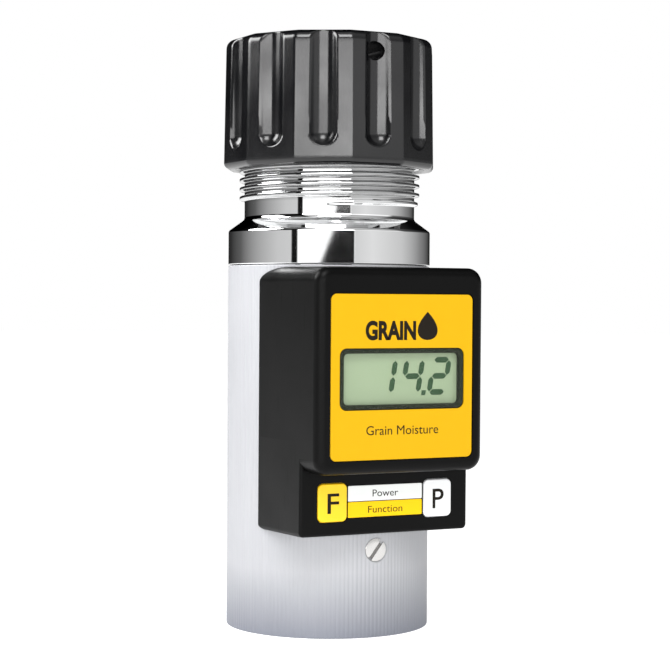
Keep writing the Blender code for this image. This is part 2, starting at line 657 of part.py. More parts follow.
def build_electrode(polished, steel):
    """The centre electrode, with the washer and nut that hold it under the floor."""
    seat = FLOOR_TOP + GAP
    top = seat + ELECTRODE_HEIGHT
    washer_top = FLOOR_FOOT - GAP
    washer_foot = washer_top - WASHER_THICKNESS
    nut_top = washer_foot - GAP
    nut_foot = nut_top - NUT_HEIGHT
    profile = [(ELECTRODE_STUD, nut_foot + 0.4 * MM), (ELECTRODE_STUD, seat), (ELECTRODE_RADIUS, seat)]
    crown = ELECTRODE_RADIUS / 2
    profile += [
        (ELECTRODE_RADIUS - crown * (1 - cos(a)), top - crown * (1 - sin(a)))
        for a in (0.5 * pi * i / 4 for i in range(5))
    ]
    rod("centre_electrode", profile, 24, polished)
    stud = ELECTRODE_STUD + SCREW_GAP
    turned_ring(
        "electrode_washer",
        [(stud, washer_foot), (WASHER_RADIUS, washer_foot), (WASHER_RADIUS, washer_top), (stud, washer_top)],
        24,
        steel,
    )
    nut_corner = NUT_WIDTH / 2 / cos(pi / 6)
    nut = rod("electrode_nut", [(nut_corner, nut_foot), (nut_corner, nut_top)], 6, steel)
    cut(nut, hole("nut_thread", stud, nut_foot - OVERCUT, nut_top + OVERCUT, sides=20))


def build_probe(steel):
    x, y = probe_centre()
    foot = FLOOR_FOOT + OVERCUT
    top = FLOOR_TOP + PROBE_HEIGHT
    profile = [(PROBE_RADIUS, foot), (PROBE_RADIUS, top - PROBE_CHAMFER), (PROBE_RADIUS - PROBE_CHAMFER, top)]
    rod("temperature_probe", profile, 12, steel, centre=(x, y))


def build_sensor_board(board_green, steel):
    profile = [(SENSOR_BOARD_RADIUS, SENSOR_BOARD_FOOT), (SENSOR_BOARD_RADIUS, SENSOR_BOARD_TOP)]
    board = rod("measuring_board", profile, 32, board_green)
    low, high = SENSOR_BOARD_FOOT - OVERCUT, SENSOR_BOARD_TOP + OVERCUT
    cut(board, hole("sensor_board_middle", SENSOR_BOARD_HOLE, low, high, sides=20))
    head = (SMALL_SCREW_HEAD, LOWER_SCREW_HEAD_HEIGHT, steel)
    for number, centre in enumerate(board_screw_centres(), 1):
        cut(board, small_hole(f"sensor_board_hole_{number}", low, high, centre))
        place = upside_down(centre, SENSOR_BOARD_FOOT - GAP - LOWER_SCREW_HEAD_HEIGHT)
        screw(f"measuring_board_screw_{number}", SMALL_SCREW_RADIUS, BOARD_SCREW_LENGTH, *head, place)
    for number, centre in enumerate(floor_screw_centres(), 1):
        place = upside_down(centre, FLOOR_FOOT + FLOOR_SCREW_SUNK)
        screw(f"floor_screw_{number}", SMALL_SCREW_RADIUS, FLOOR_SCREW_LENGTH, *head, place)


def build_base_cap(black):
    """The tray in the foot: a floor, a thin wall and two bosses for the side screws."""
    wall = SPIGOT_RADIUS - CAP_WALL
    cap = rod("base_cap", [(SPIGOT_RADIUS, 0.0), (SPIGOT_RADIUS, CAP_HEIGHT)], CUP_SIDES, black)
    cut(cap, hole("tray_hollow", wall, CAP_FLOOR, CAP_HEIGHT + OVERCUT, sides=CUP_SIDES))
    for azimuth, place in ((0.0, "front"), (pi, "rear")):
        reach = SPIGOT_RADIUS - BOSS_DEPTH
        outward = radial(azimuth, BASE_SCREW_HEIGHT, 0.0)
        join(cap, hole(f"cap_boss_{place}", BOSS_RADIUS, reach, wall + CAP_WALL / 2, sides=18, matrix=outward))
        radius = BASE_SCREW_RADIUS + SCREW_GAP
        ends = (reach - OVERCUT, SPIGOT_RADIUS + OVERCUT)
        cut(cap, hole(f"cap_hole_{place}", radius, *ends, sides=18, matrix=outward))
    return cap


def build_base_screws(steel):
    for azimuth, place in ((0.0, "front"), (pi, "rear")):
        screw(
            "base_screw_" + place,
            BASE_SCREW_RADIUS,
            BASE_SCREW_LENGTH,
            BASE_SCREW_HEAD,
            base_screw_head_height(),
            steel,
            base_screw_matrix(azimuth),
            BASE_SCREW_SLOT_TURN,
            countersunk=True,
        )


def build_battery(battery_blue, snap_black):
    """The nine-volt battery lies in the tray with its terminals towards +X, and a snap strip on them."""
    foot = CAP_FLOOR + GAP
    low_x = BATTERY_SHIFT - BATTERY_LENGTH / 2
    high_x = BATTERY_SHIFT + BATTERY_LENGTH / 2
    low = (low_x, -BATTERY_WIDTH / 2, foot)
    battery = box("battery", low, (high_x, BATTERY_WIDTH / 2, foot + BATTERY_DEPTH), battery_blue)
    to_x = Matrix.Rotation(radians(90), 4, "Y")
    middle = foot + BATTERY_DEPTH / 2
    for side, sides in ((-1, 12), (1, 6)):
        place = Matrix.Translation((high_x - OVERCUT, side * TERMINAL_SPACING / 2, middle)) @ to_x
        name = "terminal_positive" if side < 0 else "terminal_negative"
        join(battery, hole(name, TERMINAL_RADIUS, 0.0, TERMINAL_HEIGHT + OVERCUT, sides=sides, matrix=place))
    snap_low = high_x + TERMINAL_HEIGHT + GAP
    sizes = (BATTERY_WIDTH / 2 - SNAP_INSET, middle - SNAP_HEIGHT / 2, middle + SNAP_HEIGHT / 2, SNAP_CORNER)
    rings = [rounded_outline(*sizes, snap_low), rounded_outline(*sizes, snap_low + SNAP_THICKNESS)]
    stack("battery_snap", rings, snap_black, matrix=Matrix.Rotation(radians(-90), 4, "Z"))


# Pieces of the housing


def label_depths():
    """Front and back of the label and window, then the floor of their recess, in front of the tube's axis."""
    front = DISPLAY_FRONT
    back = front - LABEL_THICKNESS
    return front, back, back - GAP


def board_depths():
    """Front and back of the display board."""
    front = DISPLAY_FRONT - HOUSING_WALL - GAP - LCD_THICKNESS - LCD_BOARD_SPACE - GAP
    return front, front - BOARD_THICKNESS


def post_centres():
    low = STEP_HEIGHT + HOUSING_WALL + POST_LOW_RISE
    high = HOUSING_TOP - BOARD_TOP_MARGIN - POST_TOP_DROP
    half = BOARD_HALF - POST_INSET
    return [(x, z) for x in (-half, half) for z in (low, high)]


def build_housing_shell(black):
    rear = HOUSING_BACK_EDGE
    sizes = (STEP_HEIGHT, HOUSING_TOP, DISPLAY_FRONT, rear, DISPLAY_CORNER, DISPLAY_EDGE)
    shell = housing_block("housing_shell", *sizes)
    shell.data.materials.append(black)
    overlap = STEP_HEIGHT + HOUSING_WALL + 2 * DISPLAY_CORNER
    sizes = (HOUSING_BOTTOM, overlap, KEY_FRONT, rear, KEY_PANEL_CORNER, KEY_EDGE)
    join(shell, housing_block("key_panel", *sizes))
    tube_sides = 96
    clear = SHELL_BORE / cos(pi / tube_sides)
    room_foot, room_top = HOUSING_BOTTOM - OVERCUT, HOUSING_TOP + OVERCUT
    tube_room = hole("shell_tube_room", clear, room_foot, room_top, sides=tube_sides)
    pocket = housing_block(
        "display_pocket",
        STEP_HEIGHT + HOUSING_WALL,
        HOUSING_TOP - HOUSING_WALL,
        DISPLAY_FRONT - HOUSING_WALL,
        POCKET_BACK_EDGE,
        DISPLAY_CORNER - HOUSING_WALL,
        POCKET_EDGE,
        inset=HOUSING_WALL,
    )
    key_pocket = housing_block(
        "key_pocket",
        HOUSING_BOTTOM + HOUSING_WALL,
        overlap - DISPLAY_CORNER,
        KEY_FRONT - KEY_WALL,
        POCKET_BACK_EDGE,
        KEY_EDGE,
        KEY_EDGE / 2,
        inset=HOUSING_WALL,
    )
    cut(shell, pocket, key_pocket)
    board_front, _ = board_depths()
    for number, (x, z) in enumerate(post_centres(), 1):
        reach = DISPLAY_FRONT - HOUSING_WALL / 2
        place = along_y(x, z, -reach)
        length = reach - board_front - GAP
        join(shell, hole(f"post_{number}", POST_RADIUS, 0.0, length, sides=12, matrix=place))
        depth = POST_SCREW_LENGTH - OVERCUT
        place = along_y(x, z, -board_front - depth)
        cut(shell, small_hole(f"post_hole_{number}", 0.0, depth + OVERCUT, matrix=place))
    _, _, recess = label_depths()
    over = DISPLAY_FRONT + OVERCUT
    low, high = LABEL_BOTTOM - GAP, LABEL_TOP + GAP
    cut(shell, plate("label_recess", LABEL_HALF + GAP, low, high, over, recess, LABEL_CORNER + GAP))
    inside = DISPLAY_FRONT - HOUSING_WALL - OVERCUT
    corner = WINDOW_CORNER - WINDOW_BORDER / 2
    cut(shell, plate("window_hole", *window_opening(), over, inside, corner))
    over = KEY_FRONT + OVERCUT
    inside = KEY_FRONT - KEY_WALL - OVERCUT
    low, high = key_span(KEY_GAP)
    for x, side in ((-KEY_SPACING / 2, "f"), (KEY_SPACING / 2, "p")):
        sizes = (KEY_WIDTH / 2 + KEY_GAP, low, high, over, inside, KEY_CORNER + KEY_GAP)
        cut(shell, plate(f"key_hole_{side}", *sizes, x=x))
    low, high = strip_span(GAP / 2)
    recess = KEY_FRONT - LEGEND_THICKNESS - GAP / 2
    cut(shell, plate("legend_recess", STRIP_HALF + GAP / 2, low, high, over, recess, STRIP_CORNER))
    cut(shell, tube_room)
    return shell


def window_opening():
    """Half width, foot and top of the visible part of the window."""
    return WINDOW_HALF - WINDOW_BORDER, WINDOW_BOTTOM + WINDOW_BORDER, WINDOW_TOP - WINDOW_BORDER


def key_span(more=0.0):
    return KEY_MIDDLE - KEY_HEIGHT / 2 - more, KEY_MIDDLE + KEY_HEIGHT / 2 + more


def strip_span(more=0.0):
    return KEY_MIDDLE - STRIP_HEIGHT / 2 - more, KEY_MIDDLE + STRIP_HEIGHT / 2 + more


def build_label_and_window(yellow, clear):
    front, back, _ = label_depths()
    label = plate("label_plate", LABEL_HALF, LABEL_BOTTOM, LABEL_TOP, front, back, LABEL_CORNER, yellow)
    low, high = WINDOW_BOTTOM - GAP, WINDOW_TOP + GAP
    through = (front + OVERCUT, back - OVERCUT)
    cut(label, plate("label_window", WINDOW_HALF + GAP, low, high, *through, WINDOW_CORNER + GAP))
    plate("window_lens", WINDOW_HALF, WINDOW_BOTTOM, WINDOW_TOP, front, back, WINDOW_CORNER, clear)


def build_display(glass, rubber, holder_white):
    """The display glass, the holder round it and the two contact strips behind it."""
    half, low, high = window_opening()
    front = DISPLAY_FRONT - HOUSING_WALL - GAP
    back = front - LCD_THICKNESS
    margin = LCD_MARGIN
    corner = GLASS_CORNER
    plate("lcd_panel", half + margin, low - margin, high + margin, front, back, corner, glass, steps=1)
    inner = margin + GAP
    outer = inner + HOLDER_WALL
    board_front, _ = board_depths()
    holder_back = board_front + GAP
    sizes = (half + outer, low - outer, high + outer, front, holder_back, HOLDER_WALL)
    holder = plate("lcd_holder", *sizes, holder_white, steps=2)
    sizes = (half + inner, low - inner, high + inner, front + OVERCUT, holder_back - OVERCUT, corner)
    cut(holder, plate("holder_opening", *sizes, steps=1))
    for foot, place in ((high + margin - STRIP_THICKNESS, "upper"), (low - margin, "lower")):
        sizes = (half, foot, foot + STRIP_THICKNESS, back - GAP, holder_back, CONTACT_STRIP_CORNER)
        plate(f"contact_strip_{place}", *sizes, rubber, steps=1)


def build_display_board(board_green, chip_black, steel):
    front, back = board_depths()
    low = STEP_HEIGHT + HOUSING_WALL + BOARD_FOOT_MARGIN
    high = HOUSING_TOP - BOARD_TOP_MARGIN
    board = plate("display_board", BOARD_HALF, low, high, front, back, BOARD_CORNER, board_green, steps=2)
    through = BOARD_THICKNESS + 2 * OVERCUT
    for number, (x, z) in enumerate(post_centres(), 1):
        place = along_y(x, z, -front - OVERCUT)
        cut(board, small_hole(f"board_hole_{number}", 0.0, through, matrix=place))
        place = along_y(x, z, -back + GAP + POST_SCREW_HEAD_HEIGHT)
        sizes = (SMALL_SCREW_RADIUS, POST_SCREW_LENGTH, SMALL_SCREW_HEAD, POST_SCREW_HEAD_HEIGHT)
        screw(f"display_board_screw_{number}", *sizes, steel, place)
    middle = (low + high) / 2
    chip_low = middle - CHIP_SIZE / 2
    chip_front = back - GAP
    chip_back = chip_front - CHIP_THICKNESS
    sizes = (CHIP_SIZE / 2, chip_low, chip_low + CHIP_SIZE, chip_front, chip_back, CHIP_CORNER)
    plate("microcontroller", *sizes, chip_black, steps=1)
    width, depth, height = HEADER_SIZE
    header_low = low + HEADER_RISE
    x = BOARD_HALF - width / 2 - HEADER_INSET
    sizes = (width / 2, header_low, header_low + height, chip_front, chip_front - depth, CHIP_CORNER)
    plate("board_header", *sizes, chip_black, x=x, steps=1)


def housing_screw_heights():
    return [STEP_HEIGHT + rise for rise in HOUSING_SCREW_RISE]


def build_housing_back(black, steel):
    """The curved rear cover on the tube, its two bosses, and the screws that come through the tube's wall."""
    low = STEP_HEIGHT + HOUSING_WALL + GAP
    high = HOUSING_TOP - HOUSING_WALL - GAP
    steps = 20
    spans = [-pi / 2 - BACK_HALF_ANGLE + 2 * BACK_HALF_ANGLE * i / steps for i in range(steps + 1)]
    inner = SHELL_BORE / cos(BACK_HALF_ANGLE / steps)
    outline = [(BACK_RADIUS * cos(a), BACK_RADIUS * sin(a)) for a in spans]
    outline += [(inner * cos(a), inner * sin(a)) for a in reversed(spans)]
    back = stack("housing_back", [[(x, y, z) for x, y in outline] for z in (low, high)], black)
    _, board_back = board_depths()
    boss_front = board_back - BACK_BOSS_SHORT
    boss_length = boss_front - SHELL_BORE - BACK_THICKNESS / 3
    head = HOUSING_SCREW_HEAD_HEIGHT
    head_face = TUBE_BORE - GAP - head - HOUSING_SCREW_BACK_ROOM
    for number, z in enumerate(housing_screw_heights(), 1):
        place = along_y(0.0, z, -boss_front)
        join(back, hole(f"back_boss_{number}", BACK_BOSS_RADIUS, 0.0, boss_length, sides=14, matrix=place))
        end_wall = HOUSING_SCREW_SHORT - 2 * GAP
        place = along_y(0.0, z, -boss_front + end_wall)
        length = boss_front - end_wall - SHELL_BORE + OVERCUT
        radius = HOUSING_SCREW_RADIUS + SCREW_GAP
        cut(back, hole(f"back_hole_{number}", radius, 0.0, length, sides=12, matrix=place))
        place = along_y(0.0, z, -head_face)
        length = boss_front - HOUSING_SCREW_SHORT - head_face
        screw(f"housing_screw_{number}", HOUSING_SCREW_RADIUS, length, HOUSING_SCREW_HEAD, head, steel, place)


def build_keys(yellow, white, board_green, chip_black, strip_material):
    """Two sprung keys with their own origins, the switches behind, their board and the strip between."""
    wall_back = KEY_FRONT - KEY_WALL
    flange_front = wall_back - GAP
    flange_back = flange_front - KEY_FLANGE
    switch_front = flange_back - KEY_TRAVEL - SWITCH_PLAY
    switch_back = switch_front - SWITCH_BODY
    board_front = switch_back - SWITCH_BOARD_GAP
    board_back = board_front - KEY_BOARD_THICKNESS
    low, high = HOUSING_BOTTOM + HOUSING_WALL + KEY_BOARD_RISE, STEP_HEIGHT + KEY_BOARD_OVER_STEP
    sizes = (KEY_SPACING / 2 + KEY_BOARD_MARGIN, low, high, board_front, board_back, BOARD_CORNER)
    plate("key_board", *sizes, board_green, steps=2)
    for x, name, material in ((-KEY_SPACING / 2, "f_key", yellow), (KEY_SPACING / 2, "p_key", white)):
        origin = (x, -KEY_FRONT, KEY_MIDDLE)
        low, high = key_span()
        sizes = (KEY_WIDTH / 2, low, high, KEY_FRONT + KEY_PROUD, flange_back, KEY_CORNER)
        key = plate(name, *sizes, material, x=x, origin=origin)
        low, high = key_span(KEY_FLANGE_RIM)
        sizes = (KEY_WIDTH / 2 + KEY_FLANGE_RIM, low, high, flange_front, flange_back, KEY_CORNER)
        join(key, plate(name + "_flange", *sizes, x=x))
        low, high = KEY_MIDDLE - SWITCH_SIZE / 2, KEY_MIDDLE + SWITCH_SIZE / 2
        sizes = (SWITCH_SIZE / 2, low, high, switch_front, switch_back, SWITCH_CORNER)
        plate(name + "_switch", *sizes, chip_black, x=x, steps=2)
    low, high = strip_span()
    sizes = (STRIP_HALF, low, high, KEY_FRONT, KEY_FRONT - LEGEND_THICKNESS, STRIP_CORNER)
    plate("legend_strip", *sizes, strip_material, steps=2)


# Pieces of the lid and its press


def lid_corner_at(z):
    share = (z - LID_RIM) / LID_HEIGHT
    return LID_CORNER_LOW + (LID_CORNER_HIGH - LID_CORNER_LOW) * share


def lid_profile():
    points = []
    for step in range(4):
        angle = 0.5 * pi * step / 3
        radius = lid_corner_at(LID_RIM) - LID_RIM_ROUND * (1 - sin(angle))
        points.append((radius, LID_RIM + LID_RIM_ROUND * (1 - cos(angle))))
    for step in range(5):
        angle = 0.5 * pi * step / 4
        radius = lid_corner_at(LID_TOP) - LID_TOP_ROUND * (1 - cos(angle))
        points.append((radius, LID_TOP - LID_TOP_ROUND * (1 - sin(angle))))
    return points


def flute_cutter():
    """Twelve round-nosed cutters in one mesh, each running up past the lid's top."""
    half = FLUTE_WIDTH / 2
    radius = (half * half + FLUTE_DEPTH * FLUTE_DEPTH) / (2 * FLUTE_DEPTH)
    flat = lid_corner_at(LID_RIM + LID_HEIGHT / 2) * cos(pi / LID_FLATS)
    distance = flat + radius - FLUTE_DEPTH
    nose = LID_RIM + FLUTE_RISE + half
    sides = 12
    steps = 4
    mesh_builder = bmesh.new()
    for number in range(LID_FLATS):
        azimuth = LID_TURNED - pi / 2 + 2 * pi * number / LID_FLATS
        centre = (distance * cos(azimuth), distance * sin(azimuth))
        angles = [0.5 * pi * (i + 0.5) / (steps + 0.5) for i in range(steps + 1)]
        profile = [(radius * sin(a), nose - radius * cos(a)) for a in angles]
        profile.append((radius, LID_TOP + OVERCUT))
        rings = []
        for r, z in profile:
            points = circle(r, z, sides, azimuth + pi / sides, centre)
            rings.append([mesh_builder.verts.new(point) for point in points])
        ring_faces(mesh_builder, rings, closed_section=False)
        mesh_builder.faces.new(rings[0])
        mesh_builder.faces.new(rings[-1])
    return make_object("flutes", mesh_builder)


def build_lid(black, brass):
    rings = [circle(r, z, LID_FLATS, LID_TURNED - pi / 2 + pi / LID_FLATS) for r, z in lid_profile()]
    lid = stack("lid_shell", rings, black)
    cut(lid, flute_cutter())
    thread = {
        "first_z": THREAD_START + PITCH * (LID_PITCHES_UP + 0.5),
        "turns": LID_TURNS,
        "root": LID_BORE,
        "depth": -LID_RIDGE_DEPTH,
        "base": PITCH - RIDGE_TIP - 2 * THREAD_CLEARANCE,
        "tip": PITCH - RIDGE_BASE - 1.5 * THREAD_CLEARANCE,
    }
    below = [(LID_BORE + LID_LEAD_IN + OVERCUT, LID_RIM - OVERCUT), (LID_BORE, LID_RIM + LID_LEAD_IN)]
    bore = threaded("lid_bore", below, thread, [(LID_BORE, LID_CEILING)], closed_section=False)
    cut(lid, bore)
    bush_room = BUSH_RADIUS + GAP
    join(lid, hole("lid_hub", HUB_RADIUS, HUB_FOOT, LID_CEILING + OVERCUT, sides=24))
    cut(
        lid,
        hole("lid_well", WELL_RADIUS, WELL_FLOOR, LID_TOP + OVERCUT, sides=24),
        hole("bush_hole", bush_room, HUB_FOOT - OVERCUT, WELL_FLOOR + OVERCUT, sides=20),
    )
    outward = radial(LID_TURNED, LID_TOP - LID_HOLE_DROP, 0.0)
    inner_end, outer_end = LID_CORNER_HIGH - LID_HOLE_DEPTH, LID_CORNER_LOW + OVERCUT
    cut(lid, hole("lid_side_hole", LID_HOLE_RADIUS, inner_end, outer_end, matrix=outward))
    inner = STEM_RADIUS + SLIDE_GAP
    top = WELL_FLOOR - BUSH_SUNK
    section = [(inner, HUB_FOOT), (BUSH_RADIUS, HUB_FOOT), (BUSH_RADIUS, top), (inner, top)]
    turned_ring("stem_bush", section, 20, brass)


def build_press(steel, plastic, button_material):
    """Thrust washer, spring, stem, indicator button, pressure plate and its screw."""
    inner = STEM_RADIUS + SLIDE_GAP
    section = [(inner, THRUST_FOOT), (HUB_RADIUS, THRUST_FOOT), (HUB_RADIUS, THRUST_TOP), (inner, THRUST_TOP)]
    turned_ring("thrust_washer", section, 24, steel)
    button_foot = WELL_FLOOR + GAP
    button_radius = WELL_RADIUS * cos(pi / 24) - SLIDE_GAP
    spigot = STEM_RADIUS - STEM_SHOULDER
    spigot_top = button_foot + STEM_SPIGOT
    top = button_foot + BUTTON_THICKNESS
    edge = BUTTON_CHAMFER
    profile = [(button_radius, button_foot), (button_radius, top - edge), (button_radius - edge, top)]
    button = rod("indicator_button", profile, 24, button_material)
    cut(button, hole("button_thread", spigot + SCREW_GAP, button_foot - OVERCUT, spigot_top + GAP, sides=16))
    recess = PLATE_TOP - PLATE_SOCKET_DEPTH
    stem_foot = recess + GAP
    shoulder = button_foot - GAP
    profile = [(STEM_RADIUS, stem_foot), (STEM_RADIUS, shoulder), (spigot, shoulder), (spigot, spigot_top)]
    stem = rod("piston_stem", profile, 20, steel)
    depth = STEM_THREAD_DEPTH
    radius = PLATE_SCREW_RADIUS + SCREW_GAP
    cut(stem, hole("stem_thread", radius, stem_foot - OVERCUT, stem_foot + depth, sides=12))
    edge = PLATE_CHAMFER
    profile = [
        (PLATE_RADIUS - edge, PLATE_FOOT),
        (PLATE_RADIUS, PLATE_FOOT + edge),
        (PLATE_RADIUS, PLATE_TOP),
        (PLATE_BOSS_RADIUS, PLATE_TOP),
        (PLATE_BOSS_RADIUS, PLATE_TOP + PLATE_BOSS_HEIGHT),
    ]
    press = rod("pressure_plate", profile, CUP_SIDES, plastic)
    head = PLATE_SCREW_HEAD_HEIGHT
    matrix = upside_down((0.0, 0.0), PLATE_FOOT + PLATE_SCREW_SUNK)
    head_radius = PLATE_SCREW_RADIUS + head
    through = recess - PLATE_FOOT + OVERCUT
    boss_top = PLATE_TOP + PLATE_BOSS_HEIGHT
    socket = hole("plate_socket", STEM_RADIUS + SCREW_GAP, recess, boss_top + OVERCUT, sides=20)
    cut(press, socket, screw_hole("plate_screw_hole", PLATE_SCREW_RADIUS, through, head_radius, head, matrix))
    length = recess - PLATE_FOOT + depth - PLATE_SCREW_SHORT
    screw("plate_screw", PLATE_SCREW_RADIUS, length, head_radius, head, steel, matrix, countersunk=True)


def build_spring(steel):
    """A wire swept along a helix, from just above the plate to just below the washer."""
    mesh_builder = bmesh.new()
    sides, per_turn = 6, 14
    count = int(SPRING_TURNS * per_turn)
    rise = SPRING_LENGTH - 2 * SPRING_WIRE
    lean = atan(rise / (SPRING_TURNS * 2 * pi * SPRING_RADIUS))
    rings = []
    for i in range(count + 1):
        turn = 2 * pi * i / per_turn
        z = SPRING_FOOT + SPRING_WIRE + rise * i / count
        ring = []
        for side in range(sides):
            angle = 2 * pi * side / sides
            out, up = SPRING_WIRE * cos(angle), SPRING_WIRE * sin(angle)
            along = -up * sin(lean)
            x = (SPRING_RADIUS + out) * cos(turn) - along * sin(turn)
            y = (SPRING_RADIUS + out) * sin(turn) + along * cos(turn)
            ring.append(mesh_builder.verts.new((x, y, z + up * cos(lean))))
        rings.append(ring)
    ring_faces(mesh_builder, rings, closed_section=False)
    mesh_builder.faces.new(rings[0])
    mesh_builder.faces.new(rings[-1])
    make_object("piston_spring", mesh_builder, steel)


def main():
    for old in list(bpy.data.objects):
        bpy.data.objects.remove(old)
    aluminium = make_material("ribbed_aluminium", (0.58, 0.59, 0.62), 0.38, 1.0)
    polished = make_material("polished_plating", (0.82, 0.83, 0.85), 0.08, 1.0)
    steel = make_material("bright_steel", (0.62, 0.62, 0.63), 0.25, 1.0)
    brass = make_material("brass", (0.72, 0.55, 0.25), 0.3, 1.0)
    black = make_material("black_plastic", (0.015, 0.015, 0.016), 0.35)
    lid_black = make_material("lid_plastic", (0.012, 0.012, 0.013), 0.25)
    yellow = make_material("yellow_label", (0.98, 0.58, 0.012), 0.35)
    white = make_material("white_key", (0.92, 0.92, 0.92), 0.35)
    clear = make_material("clear_window", (0.95, 0.97, 0.95), 0.03, alpha=0.25)
    glass = make_material("display_glass", (0.37, 0.47, 0.31), 0.15)
    insulator = make_material("insulator", (0.9, 0.88, 0.82), 0.45)
    board_green = make_material("circuit_board", (0.02, 0.22, 0.08), 0.4)
    chip_black = make_material("chip_plastic", (0.02, 0.02, 0.022), 0.5)
    rubber = make_material("contact_rubber", (0.7, 0.7, 0.68), 0.8)
    battery_blue = make_material("battery_jacket", (0.05, 0.12, 0.4), 0.3)

    build_tube(aluminium)
    build_cup(polished)
    build_floor(insulator)
    build_electrode(polished, steel)
    build_probe(steel)
    build_sensor_board(board_green, steel)
    build_base_cap(black)
    build_base_screws(steel)
    build_battery(battery_blue, chip_black)
    build_housing_shell(black)
    build_label_and_window(yellow, clear)
    build_display(glass, rubber, white)
    build_display_board(board_green, chip_black, steel)
    build_housing_back(black, steel)
    build_keys(yellow, white, board_green, chip_black, white)
    build_lid(lid_black, brass)
    build_press(steel, insulator, yellow)
    build_spring(steel)


main()
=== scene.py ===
# Looks of the grain moisture meter: ribbed tube, plated measuring cup with its thread, fluted screw lid,
# display housing with a yellow label, window, two keys. Lengths in this script are millimetres.
from math import cos, degrees, pi, radians, sin

import bmesh
import bpy
import numpy as np
from mathutils import Matrix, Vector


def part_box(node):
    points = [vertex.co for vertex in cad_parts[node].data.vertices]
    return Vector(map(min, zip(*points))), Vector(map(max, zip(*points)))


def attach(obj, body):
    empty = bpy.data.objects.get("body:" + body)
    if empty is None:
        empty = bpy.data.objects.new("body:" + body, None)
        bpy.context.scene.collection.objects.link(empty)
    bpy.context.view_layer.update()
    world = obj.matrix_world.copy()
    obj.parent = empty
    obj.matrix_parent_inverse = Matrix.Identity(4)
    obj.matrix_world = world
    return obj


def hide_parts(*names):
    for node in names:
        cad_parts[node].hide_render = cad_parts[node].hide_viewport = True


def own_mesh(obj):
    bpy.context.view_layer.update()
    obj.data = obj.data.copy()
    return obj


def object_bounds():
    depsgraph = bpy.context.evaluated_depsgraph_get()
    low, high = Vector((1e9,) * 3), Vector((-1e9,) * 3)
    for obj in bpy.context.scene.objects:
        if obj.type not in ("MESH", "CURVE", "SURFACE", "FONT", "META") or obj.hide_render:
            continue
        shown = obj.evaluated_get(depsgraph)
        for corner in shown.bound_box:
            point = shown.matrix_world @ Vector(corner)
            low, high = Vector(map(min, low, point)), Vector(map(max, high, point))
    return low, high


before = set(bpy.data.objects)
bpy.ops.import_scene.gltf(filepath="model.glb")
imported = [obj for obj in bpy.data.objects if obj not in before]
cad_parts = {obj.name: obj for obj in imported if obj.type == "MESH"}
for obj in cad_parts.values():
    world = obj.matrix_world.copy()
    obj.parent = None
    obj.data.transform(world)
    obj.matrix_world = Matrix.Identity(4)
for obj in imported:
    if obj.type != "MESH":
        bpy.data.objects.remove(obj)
cadLow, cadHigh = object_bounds()
scene = bpy.context.scene
metresPerMm = 0.001


def boxOf(node):
    # lowest and highest corner of a node of the frame, in millimetres
    low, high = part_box(node)
    return np.array(low) / metresPerMm, np.array(high) / metresPerMm


tubeLow, tubeHigh = boxOf("body_tube")
cupLow, cupHigh = boxOf("threaded_cup")
lidLow, lidHigh = boxOf("lid_shell")
shellLow, shellHigh = boxOf("housing_shell")
labelLow, labelHigh = boxOf("label_plate")
lensLow, lensHigh = boxOf("window_lens")
lcdLow, lcdHigh = boxOf("lcd_panel")
stripLow, stripHigh = boxOf("legend_strip")
springLow, springHigh = boxOf("piston_spring")
tubeRadius = tubeHigh[0]
frontFace = -labelLow[1]  # the label's face, in front of the tube's axis
print("frame loaded:", len(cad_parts), "nodes")


# Surfaces


def gridFaces(rows, columns, joinRows=False, joinColumns=True):
    # four-sided faces between neighbours of a rows by columns grid whose points are numbered row by row
    row = np.arange(rows if joinRows else rows - 1)[:, None]
    column = np.arange(columns if joinColumns else columns - 1)[None, :]
    nextRow, nextColumn = (row + 1) % rows, (column + 1) % columns
    corners = (row * columns + column, row * columns + nextColumn)
    corners += (nextRow * columns + nextColumn, nextRow * columns + column)
    return np.stack(corners, axis=-1).reshape(-1, 4)


def softened(corners, steps=4):
    # a polygon of (across, up, softening): each corner becomes the curve (1-t)^2 a + 2t(1-t) corner + t^2 b,
    # where a and b lie that far from the corner on its two sides; softening 0 keeps the corner
    corners = np.array(corners, float)
    places = corners[:, :2]
    t = np.linspace(0, 1, steps + 1)[:, None]
    points = []
    for i, (place, softening) in enumerate(zip(places, corners[:, 2])):
        if softening <= 0:
            points.append(place[None])
            continue
        towards = [places[i - 1] - place, places[(i + 1) % len(places)] - place]
        ends = [place + softening * side / np.linalg.norm(side) for side in towards]
        points.append((1 - t) ** 2 * ends[0] + 2 * t * (1 - t) * place + t**2 * ends[1])
    return np.concatenate(points)


def turned(outline, sides=128):
    # a closed outline of (radius, height) turned about the axis: x = r cos a, y = r sin a, z = h.
    # Points on the axis end the outline, which is then capped instead of joined
    outline = np.array(outline, float)
    bored = outline[:, 0].min() > 1e-6
    if not bored:
        outline = outline[outline[:, 0] > 1e-6]
    angle = 2 * pi * np.arange(sides) / sides
    radius, height = outline[:, :1], outline[:, 1:]
    points = np.stack([radius * np.cos(angle), radius * np.sin(angle), height + 0 * angle], axis=-1)
    faces = gridFaces(len(outline), sides, joinRows=bored).tolist()
    if not bored:
        faces += [list(range(sides)), list(range((len(outline) - 1) * sides, len(outline) * sides))]
    return points.reshape(-1, 3), faces


def roundedOutline(halfWidth, low, high, corner, steps=8):
    # a rounded rectangle of (x, z): quarter circles of the corner radius about the four corner centres
    arc = 0.5 * pi * np.linspace(0, 1, steps + 1)
    points = []
    for number, (side, up) in enumerate(((1, 1), (-1, 1), (-1, -1), (1, -1))):
        centreX = side * (halfWidth - corner)
        centreZ = high - corner if up > 0 else low + corner
        angle = arc + 0.5 * pi * number
        points.append(np.stack([centreX + corner * np.cos(angle), centreZ + corner * np.sin(angle)], axis=-1))
    return np.concatenate(points)


